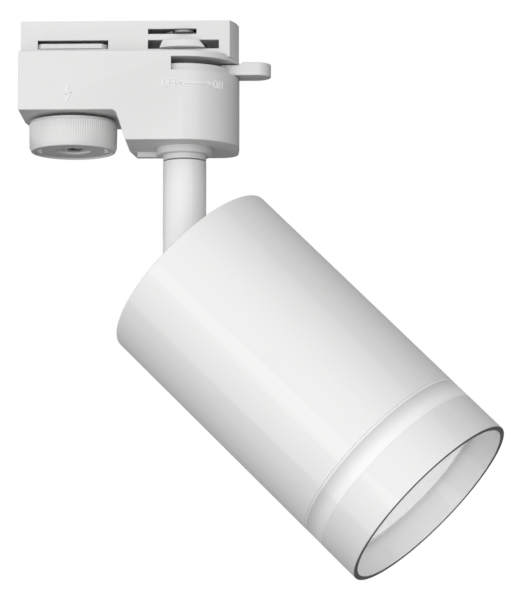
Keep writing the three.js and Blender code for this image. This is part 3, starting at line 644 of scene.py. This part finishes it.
def rear_cover():
    shell = back_lower(0, PARTING + SEAM)

    def outer_edge(m, d, a):
        return a > 30 and m.y > PARTING + 0.5

    bevel_edges(shell, outer_edge, EDGE, 3)
    top = insert_part(0, (PARTING + SEAM, INSERT_HALF), -1.3)
    bevel_edges(top, lambda m, d, a: outer_edge(m, d, a) and m.z > 0, INSERT_EDGE, 3)
    join(shell, top)
    cavity = back_lower(WALL, PARTING - 2)
    join(cavity, insert_part(INSERT_WALL, (PARTING - 2, INSERT_HALF - INSERT_WALL), -3))
    cut(shell, cavity, *casing_slots())
    join(
        shell, deck((PARTING + SEAM, INSERT_HALF - 1)), ceiling((PARTING + SEAM, 15.6)),
        cover_tab(),
    )
    for x, z in COVER_SCREWS:
        place = Matrix.Translation((x * MM, 0, 0))
        join(shell, placed(cross_rod("boss", 4.1, PARTING + 0.2, HALF_WIDTH - 1, z), place))
        bore = placed(cross_rod("bore", 1.7, PARTING - 1, HALF_WIDTH + 1, z, 32), place)
        sunk = placed(cross_rod("sunk", 3.1, HALF_WIDTH - 3.2, HALF_WIDTH + 1, z), place)
        cut(shell, bore, sunk)
    shell.name = "rear_cover_skin"
    return finished(shell, "adapter", "white_plastic", white_plastic, "rear_cover")


def wrapped(piece):
    """Lays a flat mark, drawn in x and z, on the housing's front and round its half-round end."""
    radius = HALF_WIDTH * MM
    for point in piece.data.vertices:
        along, stand, height = point.co
        if along > 0:
            turn = along / radius
            reach = radius + stand
            point.co = (reach * math.sin(turn), -reach * math.cos(turn), height)
        else:
            point.co = (along, -radius - stand, height)
    piece.data.update()
    return face_out(piece)


def stroke(name, start, end, width=0.28):
    """A raised bar in x and z, cut into short lengths so that it can follow the curve."""
    a, b = Vector(start), Vector(end)
    length = (b - a).length
    piece = block(name, (0, length), (-0.1, MARK_RELIEF), (-width / 2, width / 2))
    for i in range(1, int(length / 0.5)):
        slice_at(piece, (i * 0.5, 0, 0), (1, 0, 0))
    turn = Matrix.Rotation(-math.atan2(b.y - a.y, b.x - a.x), 4, "Y")
    return placed(piece, Matrix.Translation((a.x * MM, 0, a.y * MM)) @ turn)


def together(name, pieces):
    """One piece made of several, which keep their own shapes."""
    put_down()
    for piece in pieces:
        piece.select_set(True)
    bpy.context.view_layer.objects.active = pieces[0]
    bpy.ops.object.join()
    return named(name)


# Plain switch lettering in straight strokes, each sign on a field one wide and one high.
SIGNS = {
    "O": [((0.3, 0), (0.7, 0)), ((0.7, 0), (1, 0.3)), ((1, 0.3), (1, 0.7)), ((1, 0.7), (0.7, 1)),
          ((0.7, 1), (0.3, 1)), ((0.3, 1), (0, 0.7)), ((0, 0.7), (0, 0.3)), ((0, 0.3), (0.3, 0))],
    "F": [((0, 0), (0, 1)), ((0, 1), (1, 1)), ((0, 0.52), (0.8, 0.52))],
    "N": [((0, 0), (0, 1)), ((0, 1), (1, 0)), ((1, 0), (1, 1))],
}


def sign(letter, x, width, height=2.1):
    low = MARK_Z - height / 2
    return [
        stroke(letter, (x + a[0] * width, low + a[1] * height),
               (x + b[0] * width, low + b[1] * height))
        for a, b in SIGNS[letter]
    ]


def switch_marks():
    """Off and on, with a double arrow between them, moulded in low relief."""
    strokes = sign("O", -5.6, 1.2) + sign("F", -3.8, 1.0) + sign("F", -2.2, 1.0)
    strokes += sign("O", 9.8, 1.25) + sign("N", 11.7, 1.25)
    left, right = -0.5, 9.1
    strokes.append(stroke("arrow", (left, MARK_Z), (right, MARK_Z)))
    for end, inward in ((left, 1), (right, -1)):
        for side in (-1, 1):
            barb = (end + 1.4 * inward, MARK_Z + 0.7 * side)
            strokes.append(stroke("barb", (end, MARK_Z), barb))
    piece = wrapped(together("switch_marks", strokes))
    return finished(piece, "adapter", "white_plastic", raised_mark_painted_highlight)


def bolt_mark():
    """A plain zigzag that warns of live parts, moulded in low relief."""
    points = [(-33.3, -10.7), (-34.1, -13.1), (-32.6, -12.5), (-34.0, -15.4)]
    strokes = [stroke("zig", a, b) for a, b in zip(points, points[1:])]
    piece = wrapped(together("bolt_mark", strokes))
    return finished(piece, "adapter", "white_plastic", raised_mark_painted_highlight)


# ---------- lock ----------

def lock_knob():
    """The round knob. Every other point of its side is drawn in a little to make the ribs."""
    top, low, rim = KNOB_TOP, KNOB_BOTTOM, KNOB_RADIUS
    piece = turned("lock_knob_skin", [
        (3.1, top), (rim - 0.25, top, 0.4), (rim - 0.25, top - 0.6), (rim + 0.03, top - 0.9),
        (rim - 0.1, low + 1.15), (rim - 0.35, low + 0.9), (rim - 0.55, low, 0.5), (rim - 1.3, low),
        (rim - 1.55, low + 0.45, 0.2), (5.1, low + 0.35, 0.3), (4.7, low + 1.0, 0.3),
        (3.1, low + 1.0), (3.1, top),
    ], 2 * KNOB_RIBS, (LOCK_X, 0))

    def groove(point):
        step = round(math.atan2(point.y, point.x - LOCK_X) / (math.pi / KNOB_RIBS))
        return math.hypot(point.x - LOCK_X, point.y) > rim - 0.15 and step % 2 == 0

    pick_points(piece, groove)
    scale = 1 - RIB_DEPTH / rim
    bpy.ops.transform.resize(value=(scale, scale, 1), center_override=(LOCK_X * MM, 0, 0))
    bpy.ops.object.mode_set(mode="OBJECT")
    return finished(piece, "lock", "white_plastic", white_plastic, "lock_knob")


def knob_marks():
    """Plain raised bars on the knob's underside that show its locked and open ends."""
    low = KNOB_BOTTOM + 0.44
    radius = 9.9
    bars = ((9, 1.7, 0.8), (-3, 1.1, 0.6), (-12, 0.9, 0.5))  # degrees round, length, width
    parts = []
    for side in (0, 180):
        for round_by, length, width in bars:
            bar = block("bar", (-width / 2, width / 2), (-length / 2, length / 2),
                        (low - 0.3, low + 0.1))
            bevel_edges(bar, lambda m, d, a: m.z < low, 0.15, 2)
            angle = math.radians(side + round_by)
            spot = (LOCK_X + radius * math.cos(angle), radius * math.sin(angle), 0)
            lean = Matrix.Rotation(angle + math.radians(20), 4, "Z")
            parts.append(placed(bar, Matrix.Translation([c * MM for c in spot]) @ lean))
    piece = together("knob_marks", parts)
    return finished(piece, "lock", "white_plastic", raised_mark_painted_highlight)


def lock_plate():
    piece = rod("lock_plate_skin", PLATE_RADIUS, CAM_BOTTOM, PLATE_TOP, 48)
    flats = block("flats", (-40, 40), (-PLATE_HALF, PLATE_HALF), (-10, 10))
    combine(piece, flats, "INTERSECT")
    bevel_edges(piece, lambda m, d, a: a > 60 and m.z > 3.4, 0.3, 3)
    cut(piece, rod("hole", 2.7, -10, 10, 32))
    placed(piece, Matrix.Translation((LOCK_X * MM, 0, 0)))
    return finished(piece, "lock", "white_plastic", white_plastic, "lock_plate")


# ---------- contact rotor ----------

def contact_lever():
    disc_top, arm_top, tab_top, root = -3.55, -2.25, -1.4, 16.7
    disc = turned("contact_lever_skin", [
        (3.2, -8.6), (5.2, -8.6, 0.3), (5.2, -6.6), (14.1, -6.6, 0.3), (14.1, disc_top, 0.3),
        (3.2, disc_top), (3.2, -8.6),
    ], 128)
    tab = block("tab", (11, 25.6), (-4.4, 4.4), (-5.4, tab_top))
    for x in (root - 0.4, root + 0.7, root + 1.6):
        slice_at(tab, (x, 0, 0), (1, 0, 0))
    move_points(tab, lambda p: p.x < root and p.z > -2, (0, 0, arm_top - tab_top))
    bevel_edges(tab, lambda m, d, a: abs(d.z) > 0.9 and m.x > 25, 4.39, 14)
    bevel_edges(tab, lambda m, d, a: a > 60 and m.x > 13.5, 0.35, 3)
    join(disc, tab)
    return finished(disc, "contact_rotor", "white_plastic", white_plastic, "contact_lever")


def contact_carrier():
    """The column with the locking cam, whose lobes have sloping ends."""
    column = turned("contact_carrier_skin", [
        (1.6, -8.2), (2.9, -8.2), (2.9, -3.2), (6, -3.2), (6, 8.1, 0.3), (1.6, 8.1), (1.6, -8.2),
    ], 64)
    cam = rod("cam", CAM_RADIUS, CAM_BOTTOM, CAM_TOP, 36)
    lobes = block("lobes", (-7.5, 7.3), (-THROUGH, THROUGH), (0.9, 5.15))
    move_points(lobes, lambda p: p.z > 5 and p.x < 0, (2.0, 0, 0))
    move_points(lobes, lambda p: p.z > 5 and p.x > 0, (-3.7, 0, 0))
    combine(cam, lobes, "INTERSECT")
    bevel_edges(cam, lambda m, d, a: a > 60 and m.z > 4, 0.4, 3)
    join(column, cam)
    for side in (-1, 1):
        cut(column, block("seat", (-3.3, 3.3), (side * 2.6, side * 20), (6.0, 9.0)))
    cut(column, rod("bore", 1.6, -10, 10, 32))
    return finished(column, "contact_rotor", "white_plastic", white_plastic, "contact_carrier")


def contact(name, side):
    """A springy strip of tinned copper with a rounded nose."""
    strip = block(f"{name}_skin", (-2.9, 2.9), (2.95, 10.9), (6.4, 7.2))
    bevel_edges(strip, lambda m, d, a: abs(d.z) > 0.9 and m.y > 10, 1.9, 6)
    bevel_edges(strip, lambda m, d, a: a > 60, 0.2, 3)
    if side < 0:
        placed(strip, Matrix.Rotation(math.pi, 4, "Z"))
    return finished(strip, "contact_rotor", "tinned_copper", tinned_copper, name)


# ---------- swivel and stem ----------

def swivel_bushing():
    piece = turned("swivel_bushing_skin", [
        (5.0, NECK_BOTTOM), (STEM_RADIUS, NECK_BOTTOM, 0.25), (STEM_RADIUS, COLLAR_BOTTOM, 0.2),
        (COLLAR_RADIUS, COLLAR_BOTTOM, 0.55), (COLLAR_RADIUS, RIGHT_BOTTOM - 0.02),
        (6.9, RIGHT_BOTTOM - 0.02), (6.9, -21.2), (5.0, -21.2), (5.0, NECK_BOTTOM),
    ], 128)
    return finished(piece, "adapter", "white_plastic", white_plastic, "swivel_bushing")


def round_end(piece, radius):
    """Keeps what lies above the pivot, and below it what lies within a radius of its axis."""
    keep = block("above", (-20, 20), (-20, 20), (PIVOT_Z, 20))
    join(keep, cross_rod("knuckle", radius, -20, 20, PIVOT_Z, 96))
    return combine(piece, keep, "INTERSECT")


def fork_cutters():
    """The fork's slot and the pivot's hole across it, as cutters."""
    slot = block("slot", (-20, 20), (-FORK_SLOT / 2, FORK_SLOT / 2), (-90, FORK_SLOT_TOP))
    return slot, cross_rod("pivot_hole", PIVOT_HOLE, -20, 20, PIVOT_Z)


def stem_tube():
    tube = turned("stem_tube_skin", [
        (STEM_BORE, PIVOT_Z - 8), (STEM_RADIUS, PIVOT_Z - 8), (STEM_RADIUS, NECK_BOTTOM - 0.3, 0.3),
        (STEM_BORE, NECK_BOTTOM - 0.3), (STEM_BORE, PIVOT_Z - 8),
    ], 128)
    round_end(tube, STEM_RADIUS)
    cut(tube, *fork_cutters())
    placed(tube, stem_place)
    return finished(tube, "stem", "white_powder_coat", powder_coat, "stem_tube")


def stem_fork_block():
    plug = rod("stem_fork_block_skin", STEM_BORE - 0.3, PIVOT_Z - 8, -44, 96)
    round_end(plug, STEM_RADIUS - 0.3)
    slot, pivot_hole = fork_cutters()
    wireway = rod("wireway", 2.7, FORK_SLOT_TOP - 1, -40, 48)
    cut(plug, slot, wireway, pivot_hole)
    placed(plug, stem_place)
    return finished(plug, "stem", "bare_aluminium", bare_aluminium, "stem_fork_block")


# ---------- screws and nuts ----------

def screw(name, head_radius, head_height, shank_radius, length, recess="cross"):
    """A screw that stands on its head's seat at z 0, with the head above and the shank below."""
    head = turned(name, [
        (0, -length), (shank_radius, -length, 0.3), (shank_radius, 0), (head_radius, 0, 0.1),
        (head_radius, head_height * 0.45, 0.3), (head_radius * 0.72, head_height, 0.5),
        (0, head_height),
    ], 56)
    deep = (head_height * 0.4, head_height + 2)
    long, thin = head_radius * 0.62, 0.38
    if recess == "hexagon":
        cut(head, rod("socket", head_radius * 0.45, deep[0], deep[1], 6))
        return head
    cut(head, block("slot", (-long, long), (-thin, thin), deep))
    if recess == "cross":
        cut(head, block("slot", (-thin, thin), (-long, long), deep))
    return head


def nut(name, across_flats, bore, height):
    """A hexagon nut with its corners eased, standing on z 0."""
    dome = across_flats / math.sqrt(3)
    piece = rod(name, dome, 0, height, 6)
    ease = turned("ease", [
        (0, -0.1), (dome - 0.45, -0.1), (dome + 0.1, 0.3), (dome + 0.1, height - 0.3),
        (dome - 0.45, height + 0.1), (0, height + 0.1),
    ], 64)
    combine(piece, ease, "INTERSECT")
    cut(piece, rod("bore", bore, -5, height + 5, 40))
    return piece


def cover_screws():
    for i, (x, z) in enumerate(COVER_SCREWS, 1):
        piece = screw(f"cover_screw_{i}_skin", 2.8, 2.1, 1.4, 16)
        seat = Matrix.Translation((x * MM, 13.2 * MM, z * MM))
        placed(piece, seat @ Matrix.Rotation(math.radians(-90), 4, "X"))
        finished(piece, "adapter", "zinced_steel", zinced_steel, f"cover_screw_{i}")


def knob_screw():
    piece = screw("knob_screw_skin", 2.6, 0.9, 1.1, 1.7, "slot")
    seat = Matrix.Translation((LOCK_X * MM, 0, -26.3 * MM))
    placed(piece, seat @ Matrix.Rotation(math.pi, 4, "X"))
    return finished(piece, "lock", "zinced_steel", zinced_steel, "knob_screw")


def tilt_fixings():
    head_end = stem_place @ Matrix.Translation((0, -(STEM_RADIUS + 1.2) * MM, PIVOT_Z * MM))
    piece = screw("tilt_screw_skin", 3.0, 1.8, 2.0, 2 * STEM_RADIUS + 3.6, "hexagon")
    placed(piece, head_end @ Matrix.Rotation(math.radians(90), 4, "X"))
    finished(piece, "stem", "zinced_steel", zinced_steel, "tilt_screw")
    washer = turned("tilt_washer_skin", [
        (2.3, 0.1), (3.6, 0.1, 0.15), (3.6, 0.9, 0.15), (2.3, 0.9), (2.3, 0.1),
    ], 64)
    placed(washer, head_end @ Matrix.Translation((0, 0.2 * MM, 0)) @ Matrix.Rotation(
        math.radians(-90), 4, "X"))
    finished(washer, "stem", "zinced_steel", zinced_steel, "tilt_washer")
    piece = nut("tilt_nut_skin", 7.0, 2.15, 2.3)
    nut_end = stem_place @ Matrix.Translation((0, (STEM_RADIUS + 0.3) * MM, PIVOT_Z * MM))
    placed(piece, nut_end @ Matrix.Rotation(math.radians(-90), 4, "X"))
    finished(piece, "stem", "zinced_steel", zinced_steel, "tilt_nut")


def bracket_screws():
    for i, side in enumerate((-1, 1), 1):
        piece = screw(f"bracket_screw_{i}_skin", 3.0, 1.9, 1.5, 5.8)
        seat = Matrix.Translation((side * 19.5 * MM, 0, (CAP_REAR - 0.05) * MM))
        placed(piece, head_place @ seat @ Matrix.Rotation(math.pi, 4, "X"))
        finished(piece, "head", "zinced_steel", zinced_steel, f"bracket_screw_{i}")


# ---------- head, along its own axis, then set in place ----------

def head_piece(piece, slot, material, *nodes):
    """Sets a piece made along the head's axis in its place on the head, and finishes it."""
    placed(piece, head_place)
    return finished(piece, "head", slot, material, *nodes)


def head_tube():
    bore = HEAD_RADIUS - HEAD_WALL
    piece = turned("head_tube_skin", [
        (27, HEAD_REAR + 1), (27, HEAD_REAR, 0.3), (HEAD_RADIUS, HEAD_REAR, 0.5),
        (HEAD_RADIUS, TUBE_END - 0.02, 0.08), (bore, TUBE_END - 0.02, 0.1), (bore, CAP_REAR - 0.3),
        (27, CAP_REAR - 0.3), (27, HEAD_REAR + 1),
    ], 192)
    return head_piece(piece, "white_powder_coat", powder_coat, "head_tube")


def rear_cap():
    disc = turned("rear_cap_skin", [
        (0, CAP_REAR), (SPIGOT_RADIUS, CAP_REAR, 0.4), (SPIGOT_RADIUS, CAP_FRONT, 0.3),
        (0, CAP_FRONT),
    ], 144)
    lug = block("lug", (-4.5, 4.5), (-2.5, 2.5), (0, CAP_REAR + 1))
    join(lug, cross_rod("eye", 4.5, -2.5, 2.5, 0, 64))
    bevel_edges(lug, lambda m, d, a: a > 60 and m.z < CAP_REAR, 0.3, 3)
    join(disc, lug)
    cut(disc, cross_rod("pivot", PIVOT_HOLE, -20, 20, 0), rod("port", 3.2, -5, 20, 48, (0, 13)))
    for side in (-1, 1):
        cut(disc, rod("screw_hole", 1.8, 0, 20, 32, (side * 19.5, 0)))
    return head_piece(disc, "white_powder_coat", powder_coat, "rear_cap")


def port_grommet():
    piece = turned("port_grommet_skin", [
        (1.9, CAP_REAR - 0.9, 0.2), (4.4, CAP_REAR - 1, 0.5), (4.4, CAP_REAR - 0.05),
        (3.1, CAP_REAR - 0.05), (3.1, CAP_FRONT + 0.05), (4.4, CAP_FRONT + 0.05),
        (4.4, CAP_FRONT + 1.1, 0.5), (1.9, CAP_FRONT + 1.1), (1.9, CAP_REAR - 0.9),
    ], 56, (0, 13))
    return head_piece(piece, "black_rubber", rubber, "port_grommet")


def acrylic_ring():
    low, high = TUBE_END + 0.01, RING_END - 0.01
    face = HEAD_RADIUS - 0.03
    piece = turned("acrylic_ring_skin", [
        (RING_BORE, TUBE_END), (RING_BORE, TUBE_END - 5.5, 0.3), (SPIGOT_RADIUS, TUBE_END - 5.5),
        (SPIGOT_RADIUS, low), (face, low, 0.15), (face, high, 0.15), (SPIGOT_RADIUS, high),
        (SPIGOT_RADIUS, RING_END + 4.3, 0.2), (RING_BORE, RING_END + 4.3, 0.4),
        (RING_BORE, TUBE_END),
    ], 192)
    return head_piece(piece, "frosted_acrylic", frosted_acrylic, "acrylic_ring")


def front_bezel():
    bore = HEAD_RADIUS - HEAD_WALL
    piece = turned("front_bezel_skin", [
        (bore, RING_END + 1), (bore, RING_END + 0.01, 0.1), (HEAD_RADIUS, RING_END + 0.01, 0.06),
        (HEAD_RADIUS, MOUTH, 0.15), (bore, MOUTH, 0.12), (bore, RING_END + 1),
    ], 192)
    return head_piece(piece, "white_powder_coat", bezel_coat_painted_rim_shade, "front_bezel")


def lamp_body():
    rim = LAMP_RADIUS
    piece = turned("lamp_body_skin", [
        (0, LAMP_BASE), (11.5, LAMP_BASE, 0.5), (13.5, LAMP_BASE + 1, 0.5),
        (13.8, LAMP_BASE + 13, 1.5), (17.4, LAMP_BASE + 22, 3), (22.6, LAMP_BASE + 34, 3),
        (24.6, LAMP_BASE + 41, 1.5), (rim, LAMP_FACE - 3.5, 0.4), (rim, LAMP_FACE, 0.4),
        (rim - 1.2, LAMP_FACE, 0.3), (rim - 1.2, LAMP_FACE - 3), (22.6, LAMP_BASE + 38, 1),
        (20.8, LAMP_BASE + 33, 2), (15.6, LAMP_BASE + 22, 2), (11.5, LAMP_BASE + 14, 0.5),
        (0, LAMP_BASE + 12),
    ], 128)
    return head_piece(piece, "lamp_reflector", lamp_white, "lamp_body")


def lamp_lens():
    rim = LAMP_RADIUS - 1.3
    piece = turned("lamp_lens_skin", [
        (0, LAMP_FACE - 2.4), (rim, LAMP_FACE - 2.4, 0.2), (rim, LAMP_FACE - 0.7, 0.3),
        (rim * 0.7, LAMP_FACE - 0.5, 2), (0, LAMP_FACE - 0.3),
    ], 128)
    return head_piece(piece, "lamp_glass", lamp_glass, "lamp_lens")


# Painted shade darkens the mouth's rim to 0.4 of the coat, and painted light makes the frosted ring
# lightest beside its two neighbours.
banded(bezel_coat_painted_rim_shade, MOUTH - 2, MOUTH + 0.2, [(MOUTH - 2, 1), (MOUTH - 0.14, 1), (MOUTH - 0.1, 0.4)])
banded(frosted_acrylic, TUBE_END - 1, RING_END, [
    (82.9, 0.95), (83.5, 0.93), (83.8, 0.64), (84.2, 0.65), (85.2, 0.74), (86.6, 0.84),
    (87.8, 0.93), (89.4, 1.0),
])


# ---------- assembly ----------

front_housing()
rear_cover()
switch_marks()
bolt_mark()
cover_screws()
lock_knob()
knob_marks()
knob_screw()
lock_plate()
contact_lever()
contact_carrier()
contact("contact_line", -1)
contact("contact_neutral", 1)
swivel_bushing()
stem_tube()
stem_fork_block()
tilt_fixings()
head_tube()
rear_cap()
port_grommet()
bracket_screws()
acrylic_ring()
front_bezel()
lamp_body()
lamp_lens()

# The carried-over CAD pieces get their own finishes.
CARRIED = {
    white_plastic: ("lock_shaft",),
    zinced_steel: (
        "lock_spring", "swivel_nipple", "friction_washer", "stop_washer", "cap_ring",
        "holder_bracket", "holder_screw_1", "holder_screw_2",
    ),
    brass: ("bushing_nut", "swivel_nut", "lamp_pin_1", "lamp_pin_2"),
    steatite: ("lampholder",),
    brown_sleeve: ("stem_wire_line", "head_lead_line"),
    blue_sleeve: ("stem_wire_neutral", "head_lead_neutral"),
}
for material, nodes in CARRIED.items():
    for node in nodes:
        carried = frame["nodes"][node]
        carried.data.materials.clear()
        carried.data.materials.append(material)


# ---------- floor, light and surroundings ----------

def area_light(name, place, aim, size, power):
    data = bpy.data.lights.new(name, "AREA")
    data.shape = "RECTANGLE"
    data.size, data.size_y = size
    data.energy = power
    light = bpy.data.objects.new(name, data)
    bpy.context.scene.collection.objects.link(light)
    light.location = place
    light.rotation_euler = (Vector(aim) - Vector(place)).to_track_quat("-Z", "Y").to_euler()


# How the light depends on the direction it comes from: x to the right, y away, z up.
LIGHT = {"even": 0.25, "x": -0.33, "y": -0.61, "z": 0.15, "xz": 0.5, "yz": 0.3, "yy": 0.82,
         "zz": -0.14, "least": 0.03, "below": 0.0}


def surroundings():
    """Soft light from all round: strongest from the front and left, faint from behind."""
    world = bpy.data.worlds.new("surroundings")
    bpy.context.scene.world = world
    world.use_nodes = True
    nodes, links = world.node_tree.nodes, world.node_tree.links
    nodes.clear()

    def maths(operation, *values):
        node = nodes.new("ShaderNodeMath")
        node.operation = operation
        for socket, value in zip(node.inputs, values):
            if isinstance(value, (int, float)):
                socket.default_value = value
            else:
                links.new(value, socket)
        return node.outputs["Value"]

    place = nodes.new("ShaderNodeTexCoord")
    split = nodes.new("ShaderNodeSeparateXYZ")
    links.new(place.outputs["Generated"], split.inputs["Vector"])
    across, depth, height = split.outputs
    parts = {
        "x": across, "y": depth, "z": height, "xz": maths("MULTIPLY", across, height),
        "yz": maths("MULTIPLY", depth, height), "yy": maths("MULTIPLY", depth, depth),
        "zz": maths("MULTIPLY", height, height),
    }
    total = LIGHT["even"]
    for part, value in parts.items():
        total = maths("MULTIPLY_ADD", value, LIGHT[part], total)
    total = maths("MAXIMUM", total, LIGHT["least"])
    below = nodes.new("ShaderNodeMapRange")
    below.interpolation_type = "SMOOTHSTEP"
    below.inputs["From Min"].default_value = -1.0
    below.inputs["From Max"].default_value = -0.55
    below.inputs["To Min"].default_value = LIGHT["below"]
    links.new(height, below.inputs["Value"])
    total = maths("MULTIPLY", total, below.outputs["Result"])

    lit = nodes.new("ShaderNodeBackground")
    links.new(total, lit.inputs["Color"])
    seen = nodes.new("ShaderNodeBackground")
    seen.inputs["Color"].default_value = (1, 1, 1, 1)
    ray = nodes.new("ShaderNodeLightPath")
    blend = nodes.new("ShaderNodeMixShader")
    out = nodes.new("ShaderNodeOutputWorld")
    links.new(ray.outputs["Is Camera Ray"], blend.inputs["Fac"])
    links.new(lit.outputs["Background"], blend.inputs[1])
    links.new(seen.outputs["Background"], blend.inputs[2])
    links.new(blend.outputs["Shader"], out.inputs["Surface"])


FLOOR_LEVEL = -1.3  # metres


def studio():
    bpy.ops.mesh.primitive_plane_add(size=14, location=(0, 0, FLOOR_LEVEL))
    floor = named("floor")
    floor.data.materials.append(finish("pale_floor", (0.88, 0.88, 0.88), 0.8, mottle_size=400.0))
    floor.visible_diffuse = False
    floor.visible_glossy = False
    area_light("key", (-0.55, -1.5, 0.35), (0.02, 0.0, -0.07), (2.6, 2.6), 1.7)
    surroundings()
    bpy.context.scene.view_settings.view_transform = "Standard"


put_down()
studio()
